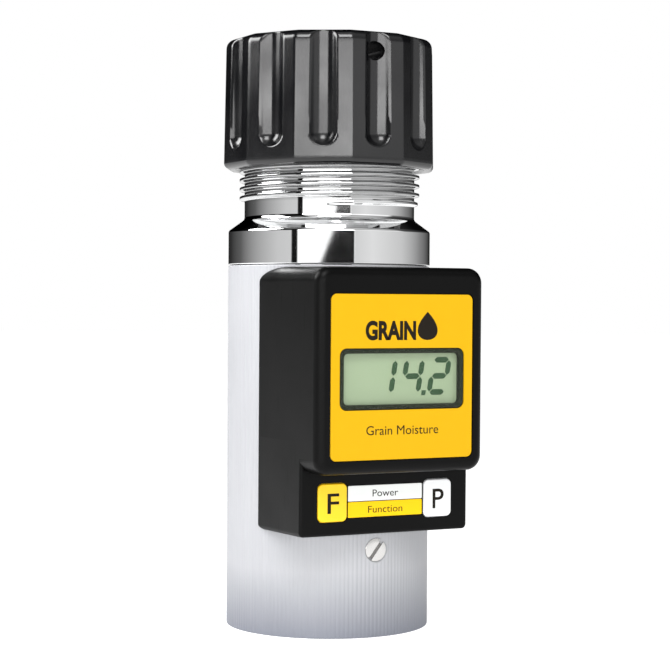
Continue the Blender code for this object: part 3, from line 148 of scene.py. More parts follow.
def layered(outlines, depths, joined=False):
    # outlines of (x, z) laid at the given distances in front of the axis, skinned one to the next and capped;
    # joined makes the last meet the first, which leaves an opening through the middle
    sheets = [np.insert(outline, 1, -depth, axis=1) for outline, depth in zip(outlines, depths)]
    count = len(sheets[0])
    faces = gridFaces(len(sheets), count, joinRows=joined).tolist()
    if not joined:
        faces += [list(range(count)), list(range((len(sheets) - 1) * count, len(sheets) * count))]
    return np.concatenate(sheets), faces


def plateSurface(halfWidth, low, high, front, back, corner, edge=0.15, middle=0.0, steps=8):
    # a rounded plate facing the front whose front edge is a quarter circle: the outline is e(1 - sin a) smaller
    # where it is e(1 - cos a) behind the front
    angle = 0.5 * pi * np.linspace(1, 0, 4)
    insets = [0.0, *(edge * (1 - np.sin(angle)))]
    depths = [back, *(front - edge * (1 - np.cos(angle)))]
    outlines = [
        roundedOutline(halfWidth - inset, low + inset, high - inset, max(corner - inset, 0.05), steps)
        + (middle, 0.0)
        for inset in insets
    ]
    return layered(outlines, depths)


def frameSurface(outer, inner, front, back):
    # a flat frame: outer outline at the back and front, inner outline at the front and back, joined in a ring
    return layered([outer, outer, inner, inner], [back, front, front, back], joined=True)


def sweptSpring(radius, wire, low, high, turns, perTurn=64, sides=14):
    # a wire along (R cos t, R sin t, z(t)): z climbs slowly at both ends, as ground coils do, and the wire's
    # circle stands across the helix's tangent
    share = np.linspace(0, 1, int(turns * perTurn) + 1)
    turn = 2 * pi * turns * share
    rise = high - low - 2 * wire
    height = low + wire + rise * (share - 0.12 * np.sin(2 * pi * share) / pi)
    climb = np.gradient(height, turn)
    outward = np.stack([np.cos(turn), np.sin(turn), 0 * turn], axis=-1)
    tangent = np.stack([-radius * np.sin(turn), radius * np.cos(turn), climb], axis=-1)
    tangent /= np.linalg.norm(tangent, axis=1)[:, None]
    across = np.cross(outward, tangent)
    centre = radius * outward + np.stack([0 * turn, 0 * turn, height], axis=-1)
    ring = 2 * pi * np.arange(sides) / sides
    wall = np.cos(ring)[None, :, None] * outward[:, None] + np.sin(ring)[None, :, None] * across[:, None]
    points = (centre[:, None] + wire * wall).reshape(-1, 3)
    points[:, 2] = np.clip(points[:, 2], low, high)
    faces = gridFaces(len(share), sides).tolist()
    faces += [list(range(sides)), list(range(len(points) - sides, len(points)))]
    return points, faces


def helical(columns, start, end, lap, angles):
    # columns of (radius, height), one for each angle, whose ridge climbs one pitch in a turn: from start to
    # end the last column joins the first one lap of points further up, and two flat patches close the seam
    sides, count = columns.shape[:2]
    radius, height = columns[..., 0], columns[..., 1]
    points = np.stack([radius * np.cos(angles)[:, None], radius * np.sin(angles)[:, None], height], axis=-1)
    faces = gridFaces(sides, count, joinRows=False, joinColumns=True).tolist()
    last, first = (sides - 1) * count + np.arange(count), np.arange(count)
    plain = [i for i in range(count) if i < start - 1 or i >= end]
    seam = [(last[i], last[(i + 1) % count], first[(i + 1) % count], first[i]) for i in plain]
    climbing = range(start, end - lap - 1)
    seam += [(last[i], last[i + 1], first[i + lap + 1], first[i + lap]) for i in climbing]
    seam.append((last[start - 1], last[start], *first[start - 1 : start + lap + 1][::-1]))
    seam.append((*first[end - 1 : end + 1], last[end], *last[end - lap - 1 : end][::-1]))
    return points.reshape(-1, 3), faces + [[int(i) for i in face] for face in seam]


def ridgeColumns(firstHeight, pitch, turns, root, depth, base, tip, fade, sides, soft):
    # a ridge up a wall at every angle: a trapezium with softened corners, base wide at the root and tip wide
    # at the crest, faded in and out over a share of a turn; heights climb by pitch times the turn
    foot, crest = base / 2, tip / 2
    path = [(-foot - soft, 0), (-foot, 0), (-crest, 1), (crest, 1), (foot, 0), (foot + soft, 0)]
    path = np.array(path)
    t = np.linspace(0, 1, 6)[:, None]
    shape = []
    for before, corner, after in zip(path, path[1:], path[2:]):
        arms = (before - corner, after - corner)
        a, b = (corner + side * min(1, soft / np.linalg.norm(side * (1, depth))) for side in arms)
        shape.append((1 - t) ** 2 * a + 2 * t * (1 - t) * corner + t**2 * b)
    shape = np.concatenate(shape)
    turn = np.arange(sides)[:, None, None] / sides
    lapNumber = np.arange(turns)[None, :, None]
    along = lapNumber + turn
    faded = np.clip(np.minimum(along, turns - 1 / sides - along) / fade, 0, 1)
    radius = root + depth * faded * shape[None, None, :, 1]
    height = firstHeight + pitch * along + shape[None, None, :, 0]
    columns = np.stack([radius + 0 * height, height], axis=-1).reshape(sides, -1, 2)
    return columns, len(shape)


# Pieces


def meshFrom(name, points, faces, sharp=30):
    # millimetres to metres, faces turned outwards, smooth shading with creases past the sharp angle
    mesh = bpy.data.meshes.new(name)
    mesh.from_pydata((np.asarray(points) * metresPerMm).tolist(), [], faces)
    editable = bmesh.new()
    editable.from_mesh(mesh)
    bmesh.ops.remove_doubles(editable, verts=editable.verts, dist=1e-7)
    bmesh.ops.recalc_face_normals(editable, faces=editable.faces)
    editable.to_mesh(mesh)
    editable.free()
    mesh.shade_smooth()
    mesh.set_sharp_from_angle(angle=radians(sharp))
    return mesh


def placed(mesh, turn):
    # moves a mesh by a 4 by 4 matrix whose shift is in millimetres
    size = len(mesh.vertices)
    points = np.empty(size * 3)
    mesh.vertices.foreach_get("co", points)
    points = points.reshape(-1, 3) @ turn[:3, :3].T + turn[:3, 3] * metresPerMm
    mesh.vertices.foreach_set("co", points.ravel())
    mesh.update()
    return mesh


def outwardTurn(azimuth, height, distance):
    # +Z to the outward direction at an azimuth from straight ahead, foot at a distance from the axis
    out = np.array([sin(azimuth), -cos(azimuth), 0.0])
    side = np.array([cos(azimuth), sin(azimuth), 0.0])
    turn = np.eye(4)
    turn[:3, 0], turn[:3, 1], turn[:3, 2] = side, np.cross(out, side), out
    turn[:3, 3] = out * distance + (0, 0, height)
    return turn


def carved(mesh, cutters, joins=()):
    # the mesh with other meshes joined on and then cut away
    target = bpy.data.objects.new(mesh.name + "Blank", mesh)
    scene.collection.objects.link(target)
    helpers = []
    for other, operation in [(m, "UNION") for m in joins] + [(m, "DIFFERENCE") for m in cutters]:
        tool = bpy.data.objects.new(other.name + "Tool", other)
        scene.collection.objects.link(tool)
        helpers.append(tool)
        modifier = target.modifiers.new(operation, "BOOLEAN")
        modifier.operation, modifier.object, modifier.solver = operation, tool, "MANIFOLD"
    bpy.context.view_layer.update()
    result = bpy.data.meshes.new_from_object(target.evaluated_get(bpy.context.evaluated_depsgraph_get()))
    for blank in [target, *helpers]:
        data = blank.data
        bpy.data.objects.remove(blank)
        bpy.data.meshes.remove(data)
    return result


def addPiece(name, mesh, finish, body, nodes=(), sharp=30):
    # the mesh as a piece that rides on a body, has its finish and stands for the frame's nodes
    piece = bpy.data.objects.new(name, mesh)
    mesh.name = name
    scene.collection.objects.link(piece)
    mesh.materials.clear()
    mesh.materials.append(finish)
    mesh.shade_smooth()
    mesh.set_sharp_from_angle(angle=radians(sharp))
    weighted = piece.modifiers.new("evenShading", "WEIGHTED_NORMAL")
    weighted.keep_sharp = True
    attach(piece, body)
    if nodes:
        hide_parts(*nodes)
    return piece


# Finishes


class Value:
    # one output of a node; arithmetic on it adds Math nodes
    def __init__(self, finish, socket):
        self.finish, self.socket = finish, socket

    def maths(self, operation, a, b):
        return self.finish.node("ShaderNodeMath", {"operation": operation}, {0: a, 1: b})

    def __add__(self, other):
        return self.maths("ADD", self, other)

    def __radd__(self, other):
        return self.maths("ADD", other, self)

    def __sub__(self, other):
        return self.maths("SUBTRACT", self, other)

    def __rsub__(self, other):
        return self.maths("SUBTRACT", other, self)

    def __mul__(self, other):
        return self.maths("MULTIPLY", self, other)

    def __rmul__(self, other):
        return self.maths("MULTIPLY", other, self)

    def __truediv__(self, other):
        return self.maths("DIVIDE", self, other)

    def __rtruediv__(self, other):
        return self.maths("DIVIDE", other, self)


class Finish:
    # a node tree with one call that adds any node
    def __init__(self, tree):
        self.tree = tree

    def node(self, kind, settings=None, inputs=None, output=0):
        made = self.tree.nodes.new(kind)
        for setting, value in (settings or {}).items():
            if setting == "stops":
                self.setStops(made.color_ramp, value)
            else:
                setattr(made, setting, value)
        for socket, value in (inputs or {}).items():
            self.feed(made.inputs[socket], value)
        return None if output is None else Value(self, made.outputs[output])

    def setStops(self, ramp, stops):
        while len(ramp.elements) > 2:
            ramp.elements.remove(ramp.elements[-1])
        for index, (position, colour) in enumerate(stops):
            element = ramp.elements[index] if index < 2 else ramp.elements.new(position)
            element.position = position
            element.color = (*colour, 1.0) if hasattr(colour, "__len__") else (colour, colour, colour, 1.0)

    def feed(self, socket, value):
        if isinstance(value, Value):
            self.tree.links.new(value.socket, socket)
        else:
            socket.default_value = value

    def noise(self, scale, detail=3.0, roughness=0.5, stretch=(1, 1, 1), turn=(0, 0, 0)):
        # noise from 0 to 1 on Object coordinates; scale is in cycles per metre before the stretch
        where = self.node("ShaderNodeTexCoord", output="Object")
        where = self.node("ShaderNodeMapping", {}, {"Vector": where, "Rotation": turn, "Scale": stretch})
        inputs = {"Vector": where, "Scale": scale, "Detail": detail, "Roughness": roughness}
        return self.node("ShaderNodeTexNoise", {}, inputs)

    def between(self, value, low, high, fromLow=0.0, fromHigh=1.0):
        inputs = {"Value": value, "From Min": fromLow, "From Max": fromHigh, "To Min": low, "To Max": high}
        return self.node("ShaderNodeMapRange", {"clamp": True}, inputs)

    def blend(self, share, first, second):
        # a colour between two colours, each an (r, g, b) or a Value
        colours = [c if isinstance(c, Value) else (*c, 1.0) for c in (first, second)]
        inputs = {0: share, 6: colours[0], 7: colours[1]}
        return self.node("ShaderNodeMix", {"data_type": "RGBA"}, inputs, output=2)

    def bump(self, height, distance, strength=1.0):
        # distance is in metres
        return self.node("ShaderNodeBump", {}, {"Height": height, "Distance": distance, "Strength": strength})


def linear(*levels):
    # screen levels of 0 to 255 as linear light
    return tuple(((v / 255 + 0.055) / 1.055) ** 2.4 if v > 10 else v / 255 / 12.92 for v in levels)


def newFinish(name, colour, roughness, metallic=0.0, **sockets):
    material = bpy.data.materials.new(name)
    material.use_nodes = True
    shader = material.node_tree.nodes["Principled BSDF"]
    finish = Finish(material.node_tree)
    finish.feed(shader.inputs["Roughness"], roughness)
    finish.feed(shader.inputs["Metallic"], metallic)
    shader.inputs["Base Color"].default_value = (*colour, 1.0)
    for label, value in sockets.items():
        finish.feed(shader.inputs[label.replace("_", " ")], value)
    return material, shader, finish


def mouldedPlastic(name, colour, roughness, grain=0.00002, grainScale=2600, mottle=0.06, rub=0.1, **sockets):
    # moulded plastic: fine spark-eroded grain, slight unevenness of gloss, faint rub marks
    material, shader, finish = newFinish(name, colour, roughness, **sockets)
    cloud = finish.noise(60, 4)
    rubbed = finish.noise(900, 2, stretch=(1, 1, 0.08), turn=(0.3, 0.5, 0.2))
    fine = finish.noise(grainScale, 2)
    darker = tuple(c * (1 - mottle) for c in colour)
    lighter = tuple(min(1, c * (1 + mottle)) for c in colour)
    finish.feed(shader.inputs["Base Color"], finish.blend(cloud, darker, lighter))
    gloss = finish.between(cloud, roughness - 0.05, roughness + 0.05, 0.3, 0.7)
    gloss = gloss + rub * finish.between(rubbed, 0, 1, 0.62, 0.75)
    finish.feed(shader.inputs["Roughness"], gloss)
    finish.feed(shader.inputs["Normal"], finish.bump(fine, grain))
    return material


def turnedMetal(name, colour, roughness, lines=9000, lineDepth=0.0000015, spread=0.03, shadeBand=None):
    # metal with fine tool lines round the axis and faint smears of handling; painted shade between two heights,
    # where the colour is halved to stand in for dimmer reflections
    material, shader, finish = newFinish(name, colour, roughness, 1.0)
    line = finish.noise(lines, 2, stretch=(0.02, 0.02, 1))
    smear = finish.noise(45, 4, 0.55)
    tone = finish.blend(smear, tuple(c * 0.95 for c in colour), colour)
    # painted shade: between the two heights the colour is halved, a darker band standing in for dimmer
    # reflections there
    if shadeBand:
        where = finish.node("ShaderNodeTexCoord", output="Object")
        height = finish.node("ShaderNodeSeparateXYZ", {}, {0: where}, 2)
        low, high = shadeBand
        soft = 0.002
        inShadeBand = finish.between(height, 0, 1, low, low + soft)
        inShadeBand = inShadeBand * finish.between(height, 1, 0, high - soft, high)
        tone = finish.blend(inShadeBand, tone, tuple(c * 0.5 for c in colour))
    finish.feed(shader.inputs["Base Color"], tone)
    uneven = finish.between(smear, roughness, roughness + spread, 0.4, 0.75)
    finish.feed(shader.inputs["Roughness"], uneven + 0.5 * spread * line)
    finish.feed(shader.inputs["Normal"], finish.bump(line, lineDepth))
    return material


def ribbedAluminium():
    # satin anodised extrusion: lines along the tube, cloudy oxide, fine grain, and painted shade that darkens
    # it towards the foot
    material, shader, finish = newFinish("ribbedAluminium", (0.6, 0.61, 0.64), 0.5, 0.3)
    drawn = finish.noise(2400, 3, stretch=(1, 1, 0.012))
    cloud = finish.noise(30, 4)
    grain = finish.noise(5200, 2)
    tone = finish.between(0.6 * drawn + 0.4 * cloud, 0, 1, 0.35, 0.65)
    where = finish.node("ShaderNodeTexCoord", output="Object")
    height = finish.node("ShaderNodeSeparateXYZ", {}, {0: where}, 2)
    satin = finish.blend(tone, (0.41, 0.415, 0.436), (0.45, 0.455, 0.475))
    # painted shade near the foot: a darker copy of the satin tone that fades out over the lowest 22 mm
    footShade = finish.blend(tone, (0.18, 0.19, 0.225), (0.2, 0.21, 0.245))
    clearOfFootShade = finish.between(height, 0, 1, 0, 0.022)
    finish.feed(shader.inputs["Base Color"], finish.blend(clearOfFootShade, footShade, satin))
    finish.feed(shader.inputs["Roughness"], finish.between(drawn, 0.48, 0.6, 0.3, 0.7))
    finish.feed(shader.inputs["Normal"], finish.bump(0.7 * drawn + 0.3 * grain, 0.000004))
    return material


def printedFilm(name, colour, roughness=0.36):
    # screen-printed film: a faint orange peel and very slight unevenness of ink
    material, shader, finish = newFinish(name, colour, roughness, Specular_IOR_Level=0.15)
    peel = finish.noise(1100, 2)
    ink = finish.noise(220, 3)
    finish.feed(shader.inputs["Base Color"], finish.blend(ink, tuple(c * 0.97 for c in colour), colour))
    finish.feed(shader.inputs["Roughness"], finish.between(ink, roughness - 0.03, roughness + 0.05, 0.3, 0.7))
    finish.feed(shader.inputs["Normal"], finish.bump(peel, 0.00001))
    return material


def displayGlass():
    # reflective display cell: even grey-green with a faint cloud under a satin polariser
    material, shader, finish = newFinish("displayGlass", linear(160, 181, 147), 0.22)
    cloud = finish.noise(70, 3)
    fine = finish.noise(3200, 2)
    tone = finish.blend(cloud, linear(160, 180, 145), linear(172, 191, 157))
    finish.feed(shader.inputs["Base Color"], tone)
    finish.feed(shader.inputs["Roughness"], finish.between(fine, 0.2, 0.3, 0.35, 0.65))
    return material


def clearWindow():
    # thin clear film over the display, seen through with a slight surface gloss
    material, shader, finish = newFinish("clearWindow", (0.1, 0.12, 0.08), 0.06, Alpha=0.08)
    peel = finish.noise(160, 2)
    finish.feed(shader.inputs["Roughness"], finish.between(peel, 0.04, 0.1, 0.3, 0.7))
    return material


def circuitBoard():
    # green solder mask with tracks showing through as raised lines
    material, shader, finish = newFinish("circuitBoard", (0.015, 0.12, 0.04), 0.35)
    where = finish.node("ShaderNodeTexCoord", output="Object")
    cells = finish.node("ShaderNodeTexVoronoi", {"distance": "MANHATTAN"}, {"Vector": where, "Scale": 420.0})
    track = finish.between(cells, 0, 1, 0.3, 0.42)
    finish.feed(shader.inputs["Base Color"], finish.blend(track, (0.03, 0.2, 0.07), (0.012, 0.1, 0.035)))
    finish.feed(shader.inputs["Normal"], finish.bump(track, 0.00003))
    return material


finishes = {
    "tube": ribbedAluminium(),
    # the plating's painted shade band runs from 145.5 to 173.5 mm up, along the thread
    "plating": turnedMetal(
        "polishedPlating", (0.93, 0.935, 0.94), 0.03, 5200, 0.0000005, 0.02, shadeBand=(0.1455, 0.1735)
    ),
    "steel": turnedMetal("brightSteel", (0.74, 0.74, 0.745), 0.2, 7000, 0.000002, 0.08),
    "screw": turnedMetal("screwPlating", (0.62, 0.61, 0.6), 0.12, 7000, 0.000001, 0.06),
    "brass": turnedMetal("brass", (0.78, 0.6, 0.28), 0.24, 7000, 0.000002, 0.08),
    "lid": mouldedPlastic(
        "lidPlastic", (0.002, 0.0021, 0.0027), 0.19, 0.000006, rub=0.0, Specular_IOR_Level=0.62
    ),
    "housing": mouldedPlastic("housingPlastic", (0.002, 0.002, 0.002), 0.36, 0.00001, Specular_IOR_Level=0.1),
    "component": mouldedPlastic("componentPlastic", (0.02, 0.02, 0.021), 0.5, 0.00002, 1500),
    "insulator": mouldedPlastic("insulator", (0.86, 0.84, 0.78), 0.42, 0.00001, 900, 0.03),
    "rubber": mouldedPlastic("contactRubber", (0.55, 0.55, 0.54), 0.8, 0.00003, 1800),
    "jacket": mouldedPlastic("batteryJacket", (0.03, 0.07, 0.26), 0.3, 0.000005, 900),
    "label": printedFilm("labelFilm", (0.68, 0.38, 0.002)),
    "ink": printedFilm("labelInk", linear(26, 20, 12), 0.45),
    "yellowKey": mouldedPlastic("yellowKey", linear(255, 206, 16), 0.34, 0.000008, 1600, 0.02),
    "whiteKey": mouldedPlastic("whiteKey", linear(238, 239, 240), 0.34, 0.000008, 1600, 0.02),
    "whiteInk": printedFilm("legendWhite", linear(236, 238, 236)),
    "yellowInk": printedFilm("legendYellow", linear(252, 203, 14)),
    "display": displayGlass(),
    "digits": printedFilm("displayDigits", linear(52, 82, 56), 0.3),
    "border": printedFilm("windowBorder", linear(18, 24, 14), 0.35),
    "window": clearWindow(),
    "indicator": mouldedPlastic("indicatorPlastic", linear(250, 203, 22), 0.35, 0.00001, 1500, 0.02),
    "board": circuitBoard(),
}
print("finishes made:", len(finishes))


# Tube

tube = {
    "ribs": 150,
    "ribDepth": 0.09,
    "pointsPerRib": 12,
    "bore": 32.0,
    "edge": 0.35,
    "screwHeight": 29.2,
    "screwHead": 3.9,
    "screwShank": 1.9,
    "screwGap": 0.25,
    "screwSink": 0.3,  # of the head's rim below the ribs
    "screwLength": 11.0,
    "slotHalf": 0.75,
    "slotDepth": 1.15,
    "slotAngle": radians(52),
    "wireSlot": (7.0, 38.0, 42.0),  # half width, foot, top
    "housingScrews": (66.1, 108.1),
}


def tubeMesh():
    # the wall's outline turned, its outer radius less depth ((1 + cos N a)/2)^1.6, which leaves N round ribs
    radius, bore, edge = tubeRadius, tube["bore"], tube["edge"]
    low, high = tubeLow[2], tubeHigh[2]
    outline = softened([(radius, low, edge), (radius, high, edge), (bore, high, edge), (bore, low, edge)], 3)
    sides = tube["ribs"] * tube["pointsPerRib"]
    angle = 2 * pi * np.arange(sides) / sides
    groove = tube["ribDepth"] * (0.5 + 0.5 * np.cos(tube["ribs"] * angle)) ** 1.6
    outside = (outline[:, :1] > radius - 1.5 * edge).astype(float)
    wall = outline[:, :1] - outside * groove
    height = outline[:, 1:] + 0 * angle
    points = np.stack([wall * np.cos(angle), wall * np.sin(angle), height], axis=-1)
    faces = gridFaces(len(outline), sides, joinRows=True).tolist()
    return meshFrom("tube", points.reshape(-1, 3), faces)


def screwSeat(azimuth):
    # the countersink and clearance hole of a side screw
    head, shank = tube["screwHead"] + tube["screwGap"], tube["screwShank"] + tube["screwGap"]
    foot, cone = -tube["screwLength"], tube["screwShank"] - tube["screwHead"]
    outline = [(0, foot), (shank, foot), (shank, cone), (head, -0.15), (head, 3.0), (0, 3.0)]
    mesh = meshFrom("seat", *turned(outline, 64))
    return placed(mesh, outwardTurn(azimuth, tube["screwHeight"], tubeRadius - tube["screwSink"]))


def boxMesh(name, low, high):
    # a cutter between two corners: its four upright edges in order, at the bottom and then at the top
    ring = ((low[0], low[1]), (high[0], low[1]), (high[0], high[1]), (low[0], high[1]))
    points = [(x, y, z) for z in (low[2], high[2]) for x, y in ring]
    walls = [[side, (side + 1) % 4, (side + 1) % 4 + 4, side + 4] for side in range(4)]
    return meshFrom(name, points, [[0, 3, 2, 1], [4, 5, 6, 7], *walls])


slotHalf, slotFoot, slotTop = tube["wireSlot"]
slotLow, slotHigh = (-slotHalf, -tubeRadius - 2, slotFoot), (slotHalf, -tube["bore"] + 4, slotTop)
cutters = [screwSeat(0.0), screwSeat(pi), boxMesh("wireSlot", slotLow, slotHigh)]
for height in tube["housingScrews"]:
    hole = meshFrom("housingHole", *turned([(0, 0), (1.7, 0), (1.7, 8), (0, 8)], 32))
    cutters.append(placed(hole, outwardTurn(0.0, height, tubeRadius - 5)))
tubeWall = carved(tubeMesh(), cutters)
addPiece("tube", tubeWall, finishes["tube"], "meter_body", ["body_tube"], 40)


def sideScrewMesh(azimuth):
    # countersunk head with a slightly domed face, cut by a straight slot
    head, shank, foot = tube["screwHead"], tube["screwShank"], -tube["screwLength"]
    corners = [
        (0, 0, 0),
        (head * 0.6, 0, 0.3),
        (head, -0.08, 0.12),
        (head, -0.45, 0.1),
        (shank, shank - head, 0.2),
        (shank, foot + 1.2, 0.5),
        (shank * 0.5, foot, 0),
        (0, foot, 0),
    ]
    mesh = meshFrom("screw", *turned(softened(corners, 4)[::-1], 72))
    slotMesh = boxMesh("slot", (-6, -tube["slotHalf"], -tube["slotDepth"]), (6, tube["slotHalf"], 2))
    across = tube["slotAngle"]
    turn = np.eye(4)
    turn[:2, :2] = [[cos(across), -sin(across)], [sin(across), cos(across)]]
    mesh = carved(mesh, [placed(slotMesh, turn)])
    return placed(mesh, outwardTurn(azimuth, tube["screwHeight"], tubeRadius - tube["screwSink"]))


for azimuth, place in ((0.0, "Front"), (pi, "Rear")):
    node = "base_screw_" + place.lower()
    screw = sideScrewMesh(azimuth)
    addPiece("sideScrew" + place, screw, finishes["screw"], "meter_body", [node])
print("tube and side screws made")


# Measuring cup with its thread

thread = {
    "pitch": 3.1,
    "first": 145.0,
    "depth": 1.75,
    "base": 1.9,
    "tip": 1.0,
    "turns": 8,
    "fade": 0.35,
    "start": radians(-120),
    "soft": 0.28,
}
cup = {
    "neck": 29.5,
    "bore": 26.5,
    "collarFoot": 124.3,
    "collarTop": 136.0,
    "coneTop": 140.0,
    "spigot": 31.7,
    "spigotFoot": 114.3,
    "skirtTop": 58.0,
    "mouthChamfer": 0.8,
    "sides": 240,
}


def wallColumns(outline, sides):
    # the same column of points at every angle
    return np.repeat(np.asarray(outline, float)[None], sides, axis=0)


def cupMesh():
    # the cup's section turned, with the ridge of the thread climbing its neck
    neck, spigot = cup["neck"], cup["spigot"]
    corners = [
        (cup["bore"], cupLow[2], 0.2),
        (spigot, cupLow[2], 0.3),
        (spigot, cup["skirtTop"], 0.2),
        (neck, cup["skirtTop"] + 1.5, 0.3),
        (neck, cup["spigotFoot"] - 1.5, 0.3),
        (spigot, cup["spigotFoot"], 0.3),
        (spigot, cup["collarFoot"], 0.1),
        (tubeRadius, cup["collarFoot"], 0.35),
        (tubeRadius, cup["collarTop"], 0.6),
        (neck, cup["coneTop"], 0.9),
        (neck, cup["coneTop"] + 1.3, 0),
        (neck, cup["coneTop"] + 2.4, 0),
        (neck, cup["coneTop"] + 3.5, 0),
        (neck, cupHigh[2] - cup["mouthChamfer"], 0.35),
        (neck - cup["mouthChamfer"], cupHigh[2], 0.3),
        (cup["bore"], cupHigh[2], 0.4),
    ]
    outline = softened(corners, 5)
    split = int(np.argmax((outline[:, 1] > cup["coneTop"] + 3.4) & (outline[:, 0] > neck - 0.01))) + 1
    sides = cup["sides"]
    shape = (thread["depth"], thread["base"], thread["tip"], thread["fade"])
    ridge, lap = ridgeColumns(
        thread["first"], thread["pitch"], thread["turns"], neck, *shape, sides, thread["soft"]
    )
    below, above = wallColumns(outline[:split], sides), wallColumns(outline[split:], sides)
    columns = np.concatenate([below, ridge, above], axis=1)
    start, end = below.shape[1], below.shape[1] + ridge.shape[1]
    angles = thread["start"] + 2 * pi * np.arange(sides) / sides
    return meshFrom("cup", *helical(columns, start, end, lap, angles), 50)


addPiece(
    "threadedCup", cupMesh(), finishes["plating"], "meter_body", ["threaded_cup"], 50
)
print("measuring cup made")


# Lid

lid = {
    "flats": 12,
    "turned": radians(-1.5),  # a flat's middle from straight ahead
    "cornerLow": 37.2,
    "cornerHigh": 36.5,
    "topRound": 3.4,
    "rimRound": 2.0,
    "fluteWidth": 9.0,
    "fluteDepth": 2.7,
    "fluteNose": 10.7,  # centre of the flute's round lower end above the rim
    "edge": 0.3,  # rounding of the edges between flats and flutes
    "bore": 31.7,
    "ridgeDepth": 1.84,
    "ridgeBase": 1.5,
    "ridgeTip": 0.75,
    "turns": 4,
    "firstRidge": 158.95,
    "ceiling": 190.6,
    "hub": 13.0,
    "hubFoot": 184.0,
    "well": 9.0,
    "wellFloor": 189.5,
    "bushRoom": 6.3,
    "holeRadius": 3.25,
    "holeDrop": 6.5,
    "holeDepth": 10.0,
    "perSector": 36,
}


def softLeast(a, b, width):
    # the lesser of two values, blended over the given width where they cross: m - h^2/(4 width)
    h = np.clip(width - np.abs(a - b), 0, None)
    return np.minimum(a, b) - h * h / (4 * width)


def lidRadius(angle, height, inset):
    # distance of the lid's outside from the axis: the nearest flat a / cos(p) softened at its corners, less
    # where a flute of radius f about distance d bites in, d cos(p) - sqrt(f^2 - d^2 sin^2 p)
    sector = 2 * pi / lid["flats"]
    share = (height - lidLow[2]) / (lidHigh[2] - lidLow[2])
    flat = (lid["cornerLow"] + (lid["cornerHigh"] - lid["cornerLow"]) * share) * cos(sector / 2) - inset
    off = (angle + sector / 2) % sector - sector / 2
    here = flat / np.cos(off)
    beside = flat / np.cos(sector - np.abs(off))
    wall = softLeast(here, beside, lid["edge"])
    half, depth = lid["fluteWidth"] / 2, lid["fluteDepth"]
    curve = (half * half + depth * depth) / (2 * depth)
    middle = 0.5 * (lid["cornerLow"] + lid["cornerHigh"]) * cos(sector / 2)
    distance = middle + curve - depth
    below = np.clip(lidLow[2] + lid["fluteNose"] - height, 0, None)
    reach = np.clip(curve**2 - below**2, 0, None)
    square = reach - (distance * np.sin(off)) ** 2
    flute = np.where(square > 0, distance * np.cos(off) - np.sqrt(np.clip(square, 0, None)), 99.0)
    return softLeast(wall, flute, lid["edge"])


def lidMesh():
    # outside rows from lidRadius at every angle, then the threaded bore, ceiling, hub and well as turned rows
    sides = lid["flats"] * lid["perSector"]
    sector = 2 * pi / lid["flats"]
    offs = 0.5 * sector * np.linspace(-1, 1, lid["perSector"] + 1)[:-1]
    angles = (lid["turned"] - pi / 2 + sector * np.arange(lid["flats"])[:, None] + offs[None]).ravel()
    local = (angles - lid["turned"] + pi / 2)[:, None]
    rim, top = lidLow[2], lidHigh[2]
    lowArc = 0.5 * pi * np.linspace(0, 1, 6)
    highArc = 0.5 * pi * np.linspace(0, 1, 12)
    heights = [rim + lid["rimRound"] * (1 - np.cos(lowArc))]
    insets = [lid["rimRound"] * (1 - np.sin(lowArc))]
    nose = rim + lid["fluteNose"]
    heights.append(np.concatenate([np.linspace(rim + 3.0, nose - 5.3, 4), np.linspace(nose - 5.0, nose, 22)]))
    heights.append(np.linspace(nose + 2.0, top - lid["topRound"] - 1.0, 8))
    insets += [np.zeros(len(heights[1])), np.zeros(len(heights[2]))]
    heights.append(top - lid["topRound"] * (1 - np.sin(highArc)))
    insets.append(lid["topRound"] * (1 - np.cos(highArc)))
    height = np.concatenate(heights)[None, :]
    outside = lidRadius(local, height, np.concatenate(insets)[None, :])
    outer = np.stack([outside, height + 0 * local], axis=-1)[:, ::-1]
    inwards = softened(
        [
            (lid["bore"] + 1.2, rim, 0.2),
            (lid["bore"], rim + 0.8, 0.2),
            (lid["bore"], lid["ceiling"], 0.8),
            (lid["hub"], lid["ceiling"], 0.5),
            (lid["hub"], lid["hubFoot"], 0.3),
            (lid["bushRoom"], lid["hubFoot"], 0.2),
            (lid["bushRoom"], lid["wellFloor"], 0.1),
            (lid["well"], lid["wellFloor"], 0.3),
            (lid["well"], top, 0.5),
            (lid["cornerHigh"] - lid["topRound"] - 3.0, top, 0),
        ],
        5,
    )
    split = int(np.argmax(inwards[:, 1] > lid["ceiling"] - 2.0))
    shape = (-lid["ridgeDepth"], lid["ridgeBase"], lid["ridgeTip"], thread["fade"])
    ridge, lap = ridgeColumns(
        lid["firstRidge"], thread["pitch"], lid["turns"], lid["bore"], *shape, sides, 0.2
    )
    # the ridge starts at the same angle as the neck's
    startIndex = int(np.argmin(np.abs((angles - thread["start"] + pi) % (2 * pi) - pi)))
    angles = np.roll(angles, -startIndex)
    outer = np.roll(outer, -startIndex, axis=0)
    below, above = wallColumns(inwards[:split], sides), wallColumns(inwards[split:], sides)
    columns = np.concatenate([below, ridge, above, outer], axis=1)
    start, end = below.shape[1], below.shape[1] + ridge.shape[1]
    mesh = meshFrom("lid", *helical(columns, start, end, lap, angles), 40)
    radius, length = lid["holeRadius"], 20
    hole = meshFrom("lidHole", *turned([(0, 0), (radius, 0), (radius, length), (0, length)], 64))
    holeFoot = outwardTurn(lid["turned"], top - lid["holeDrop"], lid["cornerHigh"] - lid["holeDepth"])
    return carved(mesh, [placed(hole, holeFoot)])


addPiece("lid", lidMesh(), finishes["lid"], "lid", ["lid_shell"], 50)
print("lid made")


# Press in the lid and the electrode: plain turned pieces, and the press's spring

pressPieces = {
    "stemBore": 4.2,  # through the bush and the washer
    "bush": 6.0,
    "washer": 13.0,
    "plateChamfer": 0.8,
    "plateThickness": 4.5,
    "plateNeck": 6.6,
}
electrode = {"shank": 3.8, "head": 9.0, "seat": 56.6, "dome": 5.5}
spring = {"radius": 9.6, "wire": 0.75, "turns": 3.5, "pressedShare": 0.522}


